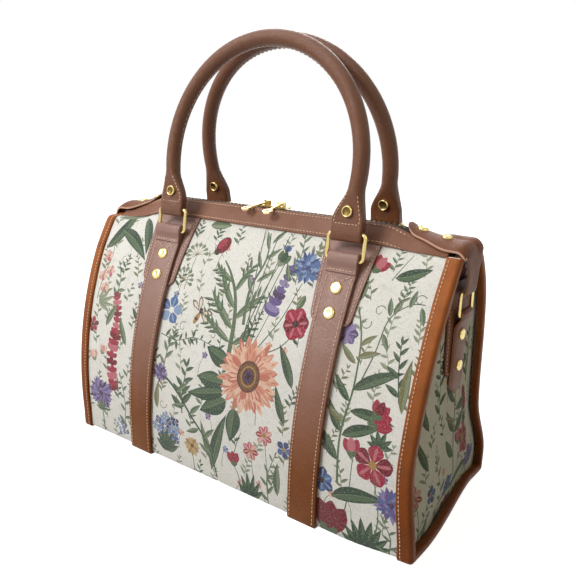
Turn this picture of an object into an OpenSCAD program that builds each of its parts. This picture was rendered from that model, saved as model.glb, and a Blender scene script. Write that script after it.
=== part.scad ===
// Tapestry holdall handbag with leather trim, rolled handles and a two-way zip.
// Millimetres. The origin is under the middle of the bag, on the surface it stands on.
// +X runs along the zip to the right end, -Y is the front, +Z is up.

/* [Body] */
// Length over the two end bindings
body_l = 330; // [280:1:380]
// Depth of the tapestry body at the bottom
body_d = 151; // [135:1:170]
// Height of the mouth, where the tapestry curves end at the zip
body_h = 212; // [195:1:230]
// Width of the mouth between the two tapestry curves
mouth_w = 16.4; // [15:0.1:20]
// Radius of the long bottom corners
corner_r = 13; // [10:0.5:16]
// Thickness of the tapestry
wrap_t = 1.6; // [1:0.1:2]
// How far below the mouth the tapestry ends, along its curve
wrap_drop = 10; // [8:0.5:14]
// Thickness of the lining
lining_t = 0.8; // [0.5:0.1:1.2]
// Thickness of the base board
board_t = 1.5; // [1:0.1:2]
// Gap between layers that are sewn together
ply = 0.1; // [0.05:0.01:0.15]

/* [Ends] */
// How far the end panels lie behind the edge of the binding
recess = 7; // [6:0.5:10]
// Thickness of an end panel
panel_t = 1.6; // [1:0.1:2]
// Width of the binding on the outside
binding_w = 12; // [9:0.5:16]
// Width of the binding inside the recess
binding_in = 5; // [3:0.5:5.5]
// Thickness of the binding leather
binding_t = 1.8; // [1.2:0.1:2.2]
// How far below the mouth the binding ends
binding_drop = 8; // [7:0.5:12]

/* [Zip] */
// Width of the leather band beside the zip
band_w = 17; // [14:0.5:20]
// Thickness of the band
band_t = 1.6; // [1:0.1:2]
// Thickness of the zip tape
tape_t = 0.8; // [0.5:0.1:1]
// Width of the slot between the two rows of teeth
zip_slot = 1.4; // [1.2:0.1:1.8]
// Length of a tooth across the zip
tooth_w = 2.4; // [2:0.1:2.8]
// Height of a tooth
tooth_h = 2.2; // [1.8:0.1:2.6]
// Spacing of the teeth along the zip
tooth_pitch = 4; // [3:0.5:6]
// Length of a slider
slider_l = 12; // [10:0.5:14]
// Width of a slider
slider_w = 8.4; // [8:0.1:9]
// Thickness of the slider's plates
slider_t = 1.2; // [0.9:0.1:1.5]
// Gap between the slider and the teeth
slider_gap = 0.3; // [0.2:0.05:0.4]
// Gap between the noses of the two sliders
nose_gap = 2; // [1:0.5:6]
// Diameter of the bar that a pull swings on
bail_d = 1.6; // [1.2:0.1:2]
// Length of a pull, from its bar
pull_l = 23; // [18:0.5:28]
// Width of a pull's rounded end
pull_w = 8; // [6:0.5:10]
// Thickness of a pull
pull_t = 1.4; // [1:0.1:1.8]
// How far below level the pulls lie
pull_dip = 12; // [8:1:14]
// Turn of the left pull along the bag
pull_turn = 28; // [0:1:40]

/* [Straps] */
// Distance of the straps from the middle of the bag
strap_x = 85; // [70:1:100]
// Width of a strap and of a handle's flat ends
strap_w = 24.5; // [20:0.5:28]
// Thickness of a strap under the bag
strap_t = 2.9; // [2.4:0.1:3.4]
// How much further the strap stands off towards its loop
strap_rise = 3.3; // [2.8:0.1:4]
// Thickness of the leather in a fold round a ring
fold_t = 2; // [1.6:0.1:2.4]
// How far below the mouth the ring's lower bar is
loop_drop = 33; // [30:0.5:38]
// How far the fairing runs below a loop
fairing_l = 15; // [10:0.5:20]
// Thickness of the patches
patch_t = 1.5; // [1:0.1:2]
// How far below the mouth a strap patch ends
patch_drop = 79; // [70:0.5:95]
// Half width of a patch at its rounded end
patch_end = 17; // [15:0.5:20]
// Corner radius of the patches
patch_r = 8; // [5:0.5:10]
// Slope of the patches' sides
patch_taper = 5; // [2:0.5:7]
// How far below the mouth the upper strap rivet is
rivet_drop = 53; // [48:0.5:58]
// Spacing of the strap rivets
rivet_pitch = 18; // [14:0.5:20]

/* [Rings] */
// Diameter of the ring wire
wire_d = 3; // [2.5:0.1:3.4]
// Gap between a ring and the leather on each side of the opening
ring_side = 0.9; // [0.6:0.1:1.5]
// Height of the ring's opening
ring_h = 15.5; // [14:0.5:18]
// Radius of the ring's corners, at the middle of the wire
ring_r = 3; // [2.6:0.1:4]
// Clearance between a bar and the leather round it
bar_gap = 0.3; // [0.2:0.05:0.4]
// How far a fold reaches past its bar into the ring
lobe = 2.6; // [1.5:0.1:3]
// Lean of rings and handles towards the zip
lean = 9; // [7:0.5:9.5]

/* [Handles] */
// Diameter of a handle
handle_d = 12; // [10:0.5:13]
// Diameter of the cord inside a handle
core_d = 8.4; // [7:0.1:8.8]
// Radius of a handle's arch
handle_r = 89; // [86:0.5:96]
// Height of the arch's middle above the ring's upper bar
handle_rise = 44; // [38:0.5:50]
// How far the round part runs below the middle of the arch
handle_low = 8; // [4:0.5:12]
// Thickness of a handle's flat end
tab_t = 6.4; // [5:0.1:7]
// Height of the flat end above the bar
tab_h = 10; // [8:0.5:12]
// Height of the handle rivet above the bar
handle_rivet_h = 15; // [13:0.5:18]

/* [Rivets] */
// Diameter of a rivet's cap
cap_d = 9; // [7:0.5:10]
// Height of a rivet's cap
cap_h = 1.6; // [1.2:0.1:2]
// Diameter of a rivet's shank
shank_d = 3.2; // [2.4:0.1:4]
// Thickness of a rivet's back washer
washer_t = 1; // [0.6:0.1:1.2]
// Clearance round a rivet's shank
shank_gap = 0.05; // [0.03:0.01:0.1]

/* [End hardware] */
// Thickness of the hood leather
hood_t = 1.8; // [1.4:0.1:2.2]
// Distance of the hood's inner tip from the end of the bag
hood_l = 47; // [42:0.5:54]
// Distance of the hood's first rivet from its tip
hood_rivet = 10; // [8:0.5:12]
// Spacing of the hood's rivets
hood_pitch = 18; // [14:0.5:20]
// Half width of the hood's round tip
hood_tip = 12; // [10:0.5:14]
// Half width of the hood where it folds over the end
hood_half = 16; // [13:0.5:18]
// Inner radius of the hood's fold
hood_r = 6; // [4.5:0.5:7]
// Gap between the hood and the binding
hood_gap = 0.3; // [0.2:0.05:0.5]
// How far below the mouth the side ring's upper bar is
side_drop = 39; // [35:0.5:44]
// Diameter of the side ring's wire
side_wire_d = 2.5; // [2:0.1:3]
// Height of the side ring's opening
side_ring_h = 14; // [12:0.5:17]
// Width of the anchor strip
anchor_w = 18; // [14:0.5:20]
// Thickness of the anchor strip
anchor_t = 2.8; // [2:0.1:3.2]
// Length of the anchor strip below its bar
anchor_l = 60; // [54:0.5:66]
// Distance of the anchor's upper rivet below its bar
anchor_rivet = 15; // [12:0.5:18]
// Spacing of the anchor's rivets
anchor_pitch = 23; // [18:0.5:26]
// Length of the side patch
side_patch_l = 68; // [60:0.5:74]
// How far below the mouth the side patch starts
side_patch_drop = 32; // [30:0.5:38]
// Diameter of the small rivet caps
small_cap_d = 8; // [6:0.5:8.5]

/* [Hidden] */
$fn = 48;
body_fn = 240;
hull_fn = 32;
arch_fn = 96;
far = 1000;
deep = 60;

front = -1;
back = 1;
left = -1;
right = 1;

// The section's front and back are arcs, tangent to the bottom corners
half_d = body_d / 2;
base_z = strap_t;
bulge_z = base_z + corner_r;
arc_rise = body_h - bulge_z;
arc_run = half_d - mouth_w / 2;
side_r = (arc_rise * arc_rise + arc_run * arc_run) / (2 * arc_run);
arc_c = [side_r - half_d, bulge_z];
mouth_angle = asin(arc_rise / side_r);
arc_l = side_r * mouth_angle * PI / 180;

// A place on the section: drop is measured down the curve from the mouth, off outwards from the tapestry
function angle_at(drop) = mouth_angle - drop / side_r * 180 / PI;
function out_at(drop, off = 0) = (side_r + off) * cos(angle_at(drop)) - arc_c[0];
function up_at(drop, off = 0) = bulge_z + (side_r + off) * sin(angle_at(drop));
function polar(radius, angle) = radius * [cos(angle), sin(angle)];
function arc_points(centre, radius, from, to, steps = 12) =
    [for (i = [0:steps]) centre + polar(radius, from + (to - from) * i / steps)];

// Layers at the ends
end_x = body_l / 2;
panel_x = end_x - recess;
rim_off = -(wrap_t + ply);
bind_in_off = rim_off - panel_t - ply;
lining_off = -(wrap_t + board_t + 2 * ply);
lining_x = panel_x - panel_t - washer_t - 2 * ply;
lining_drop = 6;

// Zip levels
tape_dip = 0.2;
tape_z = body_h - tape_dip;
tooth_top = tape_z - tape_t / 2 + tooth_h / 2;
tooth_low = tooth_top - tooth_h;
tooth_x = end_x - hood_l - tooth_pitch;
plate_z = tooth_top + slider_gap;
slider_x = (slider_l + nose_gap) / 2;
knuckle_t = 0.9;
knuckle_r = bail_d / 2 + knuckle_t;
knuckle_l = 3.6;
bail_gap = 0.15;
bail_post = 1.4;
bail_lift = 0.4;
bail_z = plate_z + slider_t + knuckle_r + bail_lift;
lip_w = 0.8;
pull_hole = pull_w / 2;

// Strap, loop and ring
patch_off = ply + patch_t + ply;
strap_r = sqrt(pow(side_r + strap_t, 2) + pow(strap_rise, 2));
function strap_off(drop) = strap_rise * sin(angle_at(drop))
    + sqrt(pow(strap_r, 2) - pow(strap_rise * cos(angle_at(drop)), 2)) - side_r;
bar_r = wire_d / 2 + bar_gap;
loop_r = bar_r + fold_t;
loop_off = patch_off + ply + loop_r;
bar_p = [-out_at(loop_drop, loop_off), up_at(loop_drop, loop_off)];
ring_pitch = ring_h + wire_d;
ring_w = strap_w + 2 * ring_side + wire_d;
step_drop = patch_drop + 1;
strap_lap = 1;
flare_in = 2;
flare_d = handle_d - 0.4;
flare_z = handle_rise - handle_r * sin(handle_low - flare_in);
tab_lap = 0.5;
core_low = handle_low - 2 * flare_in;

// End hardware
hood_z = up_at(0, ply + band_t) + ply;
hood_x = end_x + hood_gap;
side_bar_r = side_wire_d / 2 + bar_gap;
side_loop_r = side_bar_r + hood_t;
side_patch_x = panel_x + ply;
anchor_x = side_patch_x + patch_t + ply;
side_bar_x = anchor_x + ply + side_loop_r;
side_ring_pitch = side_ring_h + side_wire_d;
side_ring_w = anchor_w + 2 * ring_side + side_wire_d;
hood_bar_z = body_h - side_drop;
hood_bend_z = hood_bar_z + 3 * side_loop_r;
anchor_bar_z = hood_bar_z - side_ring_pitch;
hood_rivet_x = [end_x - hood_l + hood_rivet, end_x - hood_l + hood_rivet + hood_pitch];

tapestry = "#cfc8b4";
leather = "#94695a";
tan_leather = "#9a5a2e";
brass = "#c8a44a";
cloth = "#3a2c28";

// Placing

module along_x(from, to) translate([from, 0, 0]) rotate([90, 0, 90]) linear_extrude(to - from) children();

module along_y(width) rotate([90, 0, 0]) linear_extrude(width, center = true) children();

module at_end(side) mirror([side == left ? 1 : 0, 0, 0]) children();

module at_face(side) mirror([0, side == back ? 1 : 0, 0]) children();

module both_faces_2d() for (turn = [0, 1]) mirror([turn, 0]) children();

// Stands children on the front curve, with their +Z outwards and their +Y up the curve
module on_front(x, drop, off = 0)
    translate([x, -out_at(drop, off), up_at(drop, off)]) rotate([90 - angle_at(drop), 0, 0]) children();

// Stands children on the plane of a ring and handle, with the origin on a bar and +Z up the lean
module on_lean(bar) translate([0, bar[0], bar[1]]) rotate([-lean, 0, 0]) children();

module on_upper_bar() on_lean(bar_p) translate([0, 0, ring_pitch]) children();

// Sections, drawn in Y and Z

module sector(from, to) polygon([
    arc_c,
    arc_c + far * [-cos(angle_at(from)), sin(angle_at(from))],
    arc_c + far * [-cos(angle_at(to)), sin(angle_at(to))]
]);

module disc(center, radius) translate(center) circle(radius, $fn = body_fn);

module arc_strip(inner, outer, from, to) intersection() {
    difference() {
        disc(arc_c, side_r + outer);
        disc(arc_c, side_r + inner);
    }
    sector(from, to);
}

// The lower left quarter of a bottom corner, solid where inner is not given
module corner(outer, inner) translate([corner_r - half_d, bulge_z]) intersection() {
    difference() {
        circle(corner_r + outer);
        if (inner != undef) circle(corner_r + inner);
    }
    translate([-far, -far]) square(far);
}

// A layer that runs down the front, under the bag and up the back
module wall(from, to, inner, outer, drop) {
    for (face = [front, back]) at_face(face) {
        along_x(from, to) arc_strip(inner, outer, drop, arc_l);
        along_x(from, to) corner(outer, inner);
    }
    along_x(from, to) translate([corner_r - half_d, base_z - outer])
        square([body_d - 2 * corner_r, outer - inner]);
}

// The whole section, cut level at the top
module filled(from, to, off, top) {
    along_x(from, to) intersection() {
        disc(arc_c, side_r + off);
        disc([-arc_c[0], arc_c[1]], side_r + off);
        translate([-body_d, bulge_z]) square([2 * body_d, top - bulge_z]);
    }
    for (face = [front, back]) at_face(face) along_x(from, to) corner(off);
    along_x(from, to) translate([corner_r - half_d, base_z - off])
        square([body_d - 2 * corner_r, corner_r + off]);
}

// Patch with its top edge at y = 0 and its rounded end below
module patch_plate(length, thick) {
    cx = patch_end - patch_r;
    cy = patch_r - length;
    top = cx + (patch_r - cy * sin(patch_taper)) / cos(patch_taper);
    linear_extrude(thick) polygon(concat(
        [[top, 0], [-top, 0]],
        arc_points([-cx, cy], patch_r, 180 + patch_taper, 270),
        arc_points([cx, cy], patch_r, 270, 360 - patch_taper)
    ));
}

// Rivets

module rivet(top, bottom, diameter) {
    cap_r = diameter / 2;
    washer_r = cap_r * 0.8;
    rotate_extrude() polygon([
        [0, bottom - washer_t], [washer_r, bottom - washer_t], [washer_r, bottom], [shank_d / 2, bottom],
        [shank_d / 2, top], [cap_r, top], [cap_r, top + cap_h / 2], [washer_r, top + cap_h], [0, top + cap_h]
    ]);
}

module rivet_bore() cylinder(d = shank_d + 2 * shank_gap, h = deep, center = true);

module strap_rivet_places(face, side)
    for (drop = [rivet_drop, rivet_drop + rivet_pitch])
        at_face(face) on_front(side * strap_x, drop) children();

module hood_rivet_places(side) at_end(side) for (x = hood_rivet_x) translate([x, 0, 0]) children();

module side_rivet_places(side) at_end(side)
    for (down = [anchor_rivet, anchor_rivet + anchor_pitch])
        translate([0, 0, anchor_bar_z - down]) rotate([0, 90, 0]) children();

module hood_rivet_bores(side) hood_rivet_places(side) translate([0, 0, body_h]) rivet_bore();

module side_rivet_bores(side) side_rivet_places(side) translate([0, 0, end_x]) rivet_bore();

// Body

module body_wrap() color(tapestry) difference() {
    wall(-end_x + binding_t + ply, end_x - binding_t - ply, -wrap_t, 0, wrap_drop);
    for (face = [front, back], side = [left, right]) strap_rivet_places(face, side) rivet_bore();
}

// A flat panel whose edge is turned outwards, to be caught in the binding
module end_panel(side) color(tapestry) difference() {
    at_end(side) difference() {
        filled(panel_x - panel_t, end_x - binding_t - ply, rim_off, tape_z - tape_t - ply);
        filled(panel_x, end_x, rim_off - panel_t, body_h);
    }
    side_rivet_bores(side);
}

module lining() color(cloth) difference() {
    filled(-lining_x, lining_x, lining_off, up_at(lining_drop));
    filled(-lining_x + lining_t, lining_x - lining_t, lining_off - lining_t, body_h);
}

module base_board() color("dimgray")
    translate([-lining_x, corner_r - half_d, base_z + wrap_t + ply])
        cube([2 * lining_x, body_d - 2 * corner_r, board_t]);

module binding(side) color(tan_leather) at_end(side) {
    inner = bind_in_off - binding_t;
    outer = ply + binding_t;
    wall(end_x - binding_w, end_x, ply, outer, binding_drop);
    wall(end_x - binding_t, end_x, inner, outer, binding_drop);
    wall(end_x - binding_in, end_x, inner, bind_in_off, binding_drop);
}

// Zip

module zip_band(face) color(leather) at_face(face)
    along_x(-end_x + binding_w + ply, end_x - binding_w - ply) arc_strip(ply, ply + band_t, 0, band_w);

module zip_stringer(face) color(cloth) difference() {
    at_face(face) {
        along_x(-panel_x, panel_x) {
            arc_strip(-tape_t, 0, ply, wrap_drop - ply);
            translate([-mouth_w / 2, tape_z - tape_t])
                square([mouth_w / 2 - zip_slot / 2 - tooth_w / 3, tape_t]);
        }
        for (x = [-tooth_x + (face == front ? 0 : tooth_pitch / 2) : tooth_pitch : tooth_x])
            translate([x, -zip_slot / 2 - tooth_w, tooth_low])
                cube([tooth_pitch / 2, tooth_w, tooth_h]);
    }
    for (side = [left, right]) hood_rivet_bores(side);
}

module slider_plate(z) translate([-slider_l / 2, -slider_w / 2, z]) cube([slider_l, slider_w, slider_t]);

// Turn of the bail and pull on one slider, seen from above
function turn_of(side) = side == left ? -pull_turn : 0;

module zip_slider(side) color(brass) translate([side * slider_x, 0, 0]) {
    low_z = tooth_low - slider_gap - slider_t;
    lip_z = tape_z + slider_gap;
    slider_plate(plate_z);
    slider_plate(low_z);
    translate([-slider_l / 4, -zip_slot / 4, low_z])
        cube([slider_l / 2, zip_slot / 2, plate_z - low_z + slider_t / 2]);
    for (y = [-slider_w / 2, slider_w / 2 - lip_w])
        translate([-slider_l / 2, y, lip_z]) cube([slider_l, lip_w, plate_z - lip_z + slider_t / 2]);
    rotate([0, 0, turn_of(side)]) {
        translate([0, 0, bail_z]) rotate([0, 90, 0])
            cylinder(d = bail_d, h = knuckle_l + 2 * bail_post, center = true);
        for (x = [-1, 1])
            translate([x * (knuckle_l + bail_post + bail_gap) / 2 - bail_post / 2, -bail_d, plate_z])
                cube([bail_post, 2 * bail_d, bail_z - plate_z + bail_d]);
    }
}

// A pull lies along -Y from its bar
module pull() difference() {
    eye = pull_l - pull_w / 2;
    union() {
        rotate([0, 90, 0]) cylinder(r = knuckle_r, h = knuckle_l - bail_gap, center = true);
        translate([-knuckle_l / 4, -eye, -pull_t / 2]) cube([knuckle_l / 2, eye, pull_t]);
        translate([0, -eye, -pull_t / 2]) cylinder(d = pull_w, h = pull_t);
    }
    rotate([0, 90, 0]) cylinder(d = bail_d + 2 * bail_gap, h = knuckle_l, center = true);
    translate([0, -eye, 0]) cylinder(d = pull_hole, h = 2 * pull_t, center = true);
}

module zip_pull(side) color(brass)
    translate([side * slider_x, 0, bail_z]) rotate([0, 0, turn_of(side)]) rotate([pull_dip, 0, 0]) pull();

// Straps

module strap_arc() intersection() {
    difference() {
        disc(arc_c + [0, strap_rise], strap_r);
        disc(arc_c, side_r + ply);
    }
    sector(loop_drop, arc_l);
}

// Smooth back of a fold, from the loop down to the strap's face, in the frame of the bar
module fairing() {
    end_off = strap_off(loop_drop + fairing_l) - loop_off - fairing_l * fairing_l / (2 * side_r);
    polygon([[-loop_r / 2, 0], [loop_r, 0], [end_off, fairing_l], [end_off - fold_t / 2, fairing_l]]);
}

module strap_half(from, to) {
    along_x(from, to) corner(strap_t, ply);
    along_x(from, to) strap_arc();
    along_x(from, to) translate(bar_p) circle(loop_r);
    along_x(from, to) translate(bar_p + lobe * [sin(lean), cos(lean)]) circle(loop_r - fold_t / 4);
    along_x(from, to) translate(bar_p) rotate(180 - angle_at(loop_drop)) fairing();
}

module strap(side) color(leather) {
    from = side * strap_x - strap_w / 2;
    to = side * strap_x + strap_w / 2;
    difference() {
        union() {
            for (face = [front, back]) at_face(face) strap_half(from, to);
            translate([from, corner_r - half_d, 0]) cube([strap_w, body_d - 2 * corner_r, strap_t - ply]);
            translate([from, corner_r - half_d - strap_lap, strap_t / 3])
                cube([strap_w, body_d - 2 * corner_r + 2 * strap_lap, strap_t / 3]);
        }
        for (face = [front, back]) {
            at_face(face) along_x(from - 1, to + 1) arc_strip(-wrap_t, patch_off, 0, step_drop);
            at_face(face) along_x(from - 1, to + 1) translate(bar_p) circle(bar_r);
            strap_rivet_places(face, side) rivet_bore();
        }
    }
}

module strap_patch(face, side) color(leather) difference() {
    at_face(face) intersection() {
        along_x(side * strap_x - strap_w * 2, side * strap_x + strap_w * 2)
            arc_strip(ply, ply + patch_t, band_w + ply, patch_drop + patch_r);
        on_front(side * strap_x, band_w + ply)
            translate([0, 0, -deep / 2]) patch_plate(patch_drop - band_w - ply, deep);
    }
    strap_rivet_places(face, side) rivet_bore();
}

// Rings and handles

module wire_ring(width, height, radius, wire) {
    run_x = width / 2 - radius;
    run_z = height / 2 - radius;
    for (up = [0, 1]) mirror([0, 0, up]) {
        translate([0, 0, height / 2]) rotate([0, 90, 0]) cylinder(d = wire, h = 2 * run_x, center = true);
        for (turn = [0, 1]) mirror([turn, 0, 0])
            translate([run_x, 0, run_z]) rotate([90, 0, 0])
                rotate_extrude(angle = 90) translate([radius, 0]) circle(d = wire);
    }
    for (x = [-width / 2, width / 2]) translate([x, 0, 0]) cylinder(d = wire, h = 2 * run_z, center = true);
}

module ring(face, side) color(brass) at_face(face)
    on_lean(bar_p) translate([side * strap_x, 0, ring_pitch / 2])
        wire_ring(ring_w, ring_pitch, ring_r, wire_d);

module arch(diameter, low) translate([0, 0, handle_rise])
    rotate([90, 0, 0]) rotate([0, 0, -low]) rotate_extrude(angle = 180 + 2 * low, $fn = arch_fn)
        translate([handle_r, 0]) circle(d = diameter);

// The leather opens from the round handle to its flat end
module flare() hull() {
    translate([0, 0, handle_rise]) rotate([0, handle_low - flare_in, 0]) translate([handle_r, 0, 0])
        cylinder(d = flare_d, h = tab_lap, center = true, $fn = hull_fn);
    translate([strap_x - strap_w / 2, -tab_t / 2, tab_h - 2 * tab_lap]) cube([strap_w, tab_t, 2 * tab_lap]);
}

module tab() difference() {
    from = strap_x - strap_w / 2;
    to = strap_x + strap_w / 2;
    union() {
        along_x(from, to) circle(loop_r);
        along_x(from, to) translate([0, -lobe]) circle(loop_r - fold_t / 4);
        along_x(from, to) translate([-tab_t / 2, 0]) square([tab_t, tab_h - tab_lap]);
    }
    along_x(from - 1, to + 1) circle(bar_r);
}

module handle_rivet_places() for (side = [left, right])
    translate([side * strap_x, 0, handle_rivet_h]) rotate([90, 0, 0]) children();

module handle(face) color(leather) at_face(face) on_upper_bar() difference() {
    union() {
        arch(handle_d, handle_low);
        for (turn = [0, 1]) mirror([turn, 0, 0]) {
            flare();
            tab();
        }
    }
    arch(core_d + 2 * ply, core_low);
    handle_rivet_places() rivet_bore();
}

module handle_core(face) color("wheat") at_face(face) on_upper_bar() arch(core_d, core_low - ply);

// The caps seat on the flare's faces, at the thickness it has under their upper edge
module handle_rivets(face) color(brass) at_face(face) on_upper_bar() {
    share = (handle_rivet_h + small_cap_d / 2 - tab_h) / (flare_z - tab_h);
    seat = tab_t / 2 + share * (flare_d - tab_t) / 2 + ply;
    handle_rivet_places() rivet(seat, -seat, small_cap_d);
}

// End hardware

module hood_strip(width) difference() {
    fold = [hood_x - hood_r, hood_z - hood_r];
    bar = [side_bar_x, hood_bar_z];
    union() {
        along_y(width) polygon(concat(
            [[end_x - hood_l, hood_z]],
            arc_points(fold, hood_r, 90, 0),
            [[hood_x, hood_bend_z], bar, bar + [side_loop_r, 0], [hood_x + hood_t, hood_bend_z]],
            arc_points(fold, hood_r + hood_t, 0, 90),
            [[end_x - hood_l, hood_z + hood_t]]
        ));
        along_y(width) translate(bar) circle(side_loop_r);
    }
    along_y(width + 2) translate(bar) circle(side_bar_r);
}

// Seen from above: a round tip that widens to the fold
module hood_plan() {
    tip_x = end_x - hood_l + hood_tip;
    translate([tip_x, 0, 0]) cylinder(r = hood_tip, h = 2 * body_h);
    linear_extrude(2 * body_h) polygon([
        [tip_x, -hood_tip], [end_x - binding_w, -hood_half], [far, -hood_half],
        [far, hood_half], [end_x - binding_w, hood_half], [tip_x, hood_tip]
    ]);
}

// Seen from the end: the hood narrows to the width of the ring
module hood_front() {
    half = anchor_w / 2;
    wide_z = hood_z - hood_r - hood_t;
    polygon([
        [-hood_half, far], [-hood_half, wide_z], [-half, hood_bend_z], [-half, 0],
        [half, 0], [half, hood_bend_z], [hood_half, wide_z], [hood_half, far]
    ]);
}

module hood(side) color(leather) difference() {
    at_end(side) intersection() {
        hood_strip(2 * hood_half);
        hood_plan();
        along_x(0, far) hood_front();
    }
    hood_rivet_bores(side);
}

module side_ring(side) color(brass) at_end(side)
    translate([side_bar_x, 0, hood_bar_z - side_ring_pitch / 2]) rotate([0, 0, 90])
        wire_ring(side_ring_w, side_ring_pitch, ring_r, side_wire_d);

module side_anchor(side) color(leather) difference() {
    tip_z = anchor_bar_z - anchor_l;
    half = anchor_w / 2;
    bar = [side_bar_x, anchor_bar_z];
    at_end(side) intersection() {
        difference() {
            union() {
                along_y(anchor_w) translate([anchor_x, tip_z]) square([anchor_t, anchor_l]);
                along_y(anchor_w) translate(bar) circle(side_loop_r);
            }
            along_y(anchor_w + 2) translate(bar) circle(side_bar_r);
        }
        along_x(0, far) polygon([
            [0, tip_z], [half, tip_z + half], [half, body_h], [-half, body_h], [-half, tip_z + half]
        ]);
    }
    side_rivet_bores(side);
}

module side_patch(side) color(leather) difference() {
    at_end(side) translate([side_patch_x, 0, body_h - side_patch_drop]) rotate([90, 0, 90])
        patch_plate(side_patch_l, patch_t);
    side_rivet_bores(side);
}

// Rivet groups

module strap_rivets() color(brass) for (face = [front, back], side = [left, right])
    for (drop = [rivet_drop, rivet_drop + rivet_pitch])
        at_face(face) on_front(side * strap_x, drop) rivet(strap_off(drop) + ply, -wrap_t - ply, cap_d);

module hood_rivets() color(brass) for (side = [left, right])
    hood_rivet_places(side) rivet(hood_z + hood_t + ply, tape_z - tape_t - ply, small_cap_d);

module side_rivets() color(brass) for (side = [left, right])
    side_rivet_places(side) rivet(anchor_x + anchor_t + ply, panel_x - panel_t - ply, small_cap_d);

body_wrap();
end_panel(left);  // end_panel_left
end_panel(right);  // end_panel_right
lining();
base_board();
binding(left);  // binding_left
binding(right);  // binding_right
zip_band(front);  // zip_band_front
zip_band(back);  // zip_band_back
zip_stringer(front);  // zip_stringer_front
zip_stringer(back);  // zip_stringer_back
zip_slider(left);  // zip_slider_left
zip_slider(right);  // zip_slider_right
zip_pull(left);  // zip_pull_left
zip_pull(right);  // zip_pull_right
strap(left);  // strap_left
strap(right);  // strap_right
strap_patch(front, left);  // strap_patch_front_left
strap_patch(front, right);  // strap_patch_front_right
strap_patch(back, left);  // strap_patch_back_left
strap_patch(back, right);  // strap_patch_back_right
ring(front, left);  // ring_front_left
ring(front, right);  // ring_front_right
ring(back, left);  // ring_back_left
ring(back, right);  // ring_back_right
handle(front);  // handle_front
handle(back);  // handle_back
handle_core(front);  // handle_core_front
handle_core(back);  // handle_core_back
hood(left);  // hood_left
hood(right);  // hood_right
side_ring(left);  // side_ring_left
side_ring(right);  // side_ring_right
side_anchor(left);  // side_anchor_left
side_anchor(right);  // side_anchor_right
side_patch(left);  // side_patch_left
side_patch(right);  // side_patch_right
strap_rivets();
handle_rivets(front);  // handle_rivets_front
handle_rivets(back);  // handle_rivets_back
hood_rivets();
side_rivets();
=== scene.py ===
# Tapestry handbag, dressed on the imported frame. Shapes are worked out in millimetres and stored in metres.
import math
import random

import bmesh
import bpy
import numpy as np
from mathutils import Matrix, Vector, noise
from mathutils.geometry import delaunay_2d_cdt


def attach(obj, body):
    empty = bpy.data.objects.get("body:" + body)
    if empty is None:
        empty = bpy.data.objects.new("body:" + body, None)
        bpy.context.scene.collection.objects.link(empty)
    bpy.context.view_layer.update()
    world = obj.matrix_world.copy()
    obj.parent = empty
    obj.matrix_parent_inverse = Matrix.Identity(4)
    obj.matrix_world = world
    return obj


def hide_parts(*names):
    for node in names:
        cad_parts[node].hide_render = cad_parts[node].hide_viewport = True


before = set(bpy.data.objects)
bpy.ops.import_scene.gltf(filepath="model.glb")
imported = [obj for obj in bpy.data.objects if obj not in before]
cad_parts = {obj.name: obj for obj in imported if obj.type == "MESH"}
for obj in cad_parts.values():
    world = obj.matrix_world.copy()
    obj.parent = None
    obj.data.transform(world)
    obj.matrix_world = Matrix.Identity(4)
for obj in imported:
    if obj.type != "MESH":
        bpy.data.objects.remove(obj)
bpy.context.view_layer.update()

MM = 0.001
FRONT, BACK, LEFT, RIGHT = -1, 1, -1, 1
FACE = {FRONT: "front", BACK: "back"}
SIDE = {LEFT: "left", RIGHT: "right"}
X, Y, Z = Vector((1, 0, 0)), Vector((0, 1, 0)), Vector((0, 0, 1))

# Sizes, as in the part's source
LENGTH, DEPTH, HEIGHT, MOUTH, CORNER = 330.0, 151.0, 212.0, 16.4, 13.0
END = LENGTH / 2
BASE = 2.9
PLY = 0.1
BAND_W, BAND_T = 17.0, 1.6
BINDING_W, BINDING_T, BINDING_IN, BINDING_DROP = 10.4, 1.8, 5.0, 8.0
PANEL_X = END - 7.0
STRAP_X, STRAP_W, STRAP_T, STRAP_RISE = 85.0, 24.5, 2.9, 3.3
LOOP_DROP, LOOP_R, LOBE, LOBE_R = 33.0, 3.8, 2.6, 3.3
PATCH_T, PATCH_DROP, PATCH_END, PATCH_R, PATCH_TAPER = 1.5, 79.0, 17.0, 8.0, 5.0
STRAP_LOW = 3 * PLY + PATCH_T
RIVET_DROPS = (53.0, 71.0)
WIRE, RING_W, RING_PITCH, RING_R = 3.0, 29.3, 18.5, 3.0
LEAN = math.radians(9)
HANDLE_R, HANDLE_D, HANDLE_RISE, HANDLE_LOW = 89.0, 12.0, 44.0, 8.0
TAB_H, TAB_T, HANDLE_RIVET = 10.0, 6.4, 15.0
HOOD_T, HOOD_L, HOOD_TIP, HOOD_HALF, HOOD_R = 1.8, 47.0, 12.0, 16.0, 6.0
HOOD_RIVETS = (10.0, 28.0)
SIDE_WIRE, SIDE_RING_W, SIDE_PITCH, SIDE_LOOP_R = 2.5, 22.3, 16.5, 3.35
ANCHOR_W, ANCHOR_T, ANCHOR_L = 18.0, 2.8, 60.0
ANCHOR_RIVETS = (15.0, 38.0)
SIDE_PATCH_L, SIDE_PATCH_DROP = 68.0, 32.0
HOOD_BAR_Z = HEIGHT - 39.0
ANCHOR_BAR_Z = HOOD_BAR_Z - SIDE_PITCH
ANCHOR_X = PANEL_X + 0.3 + PATCH_T
SIDE_BAR_X = PANEL_X + STRAP_LOW + SIDE_LOOP_R
TAPE_Z = HEIGHT - 0.2
TEETH_REACH, TOOTH_PITCH = 114.0, 4.0

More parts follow.
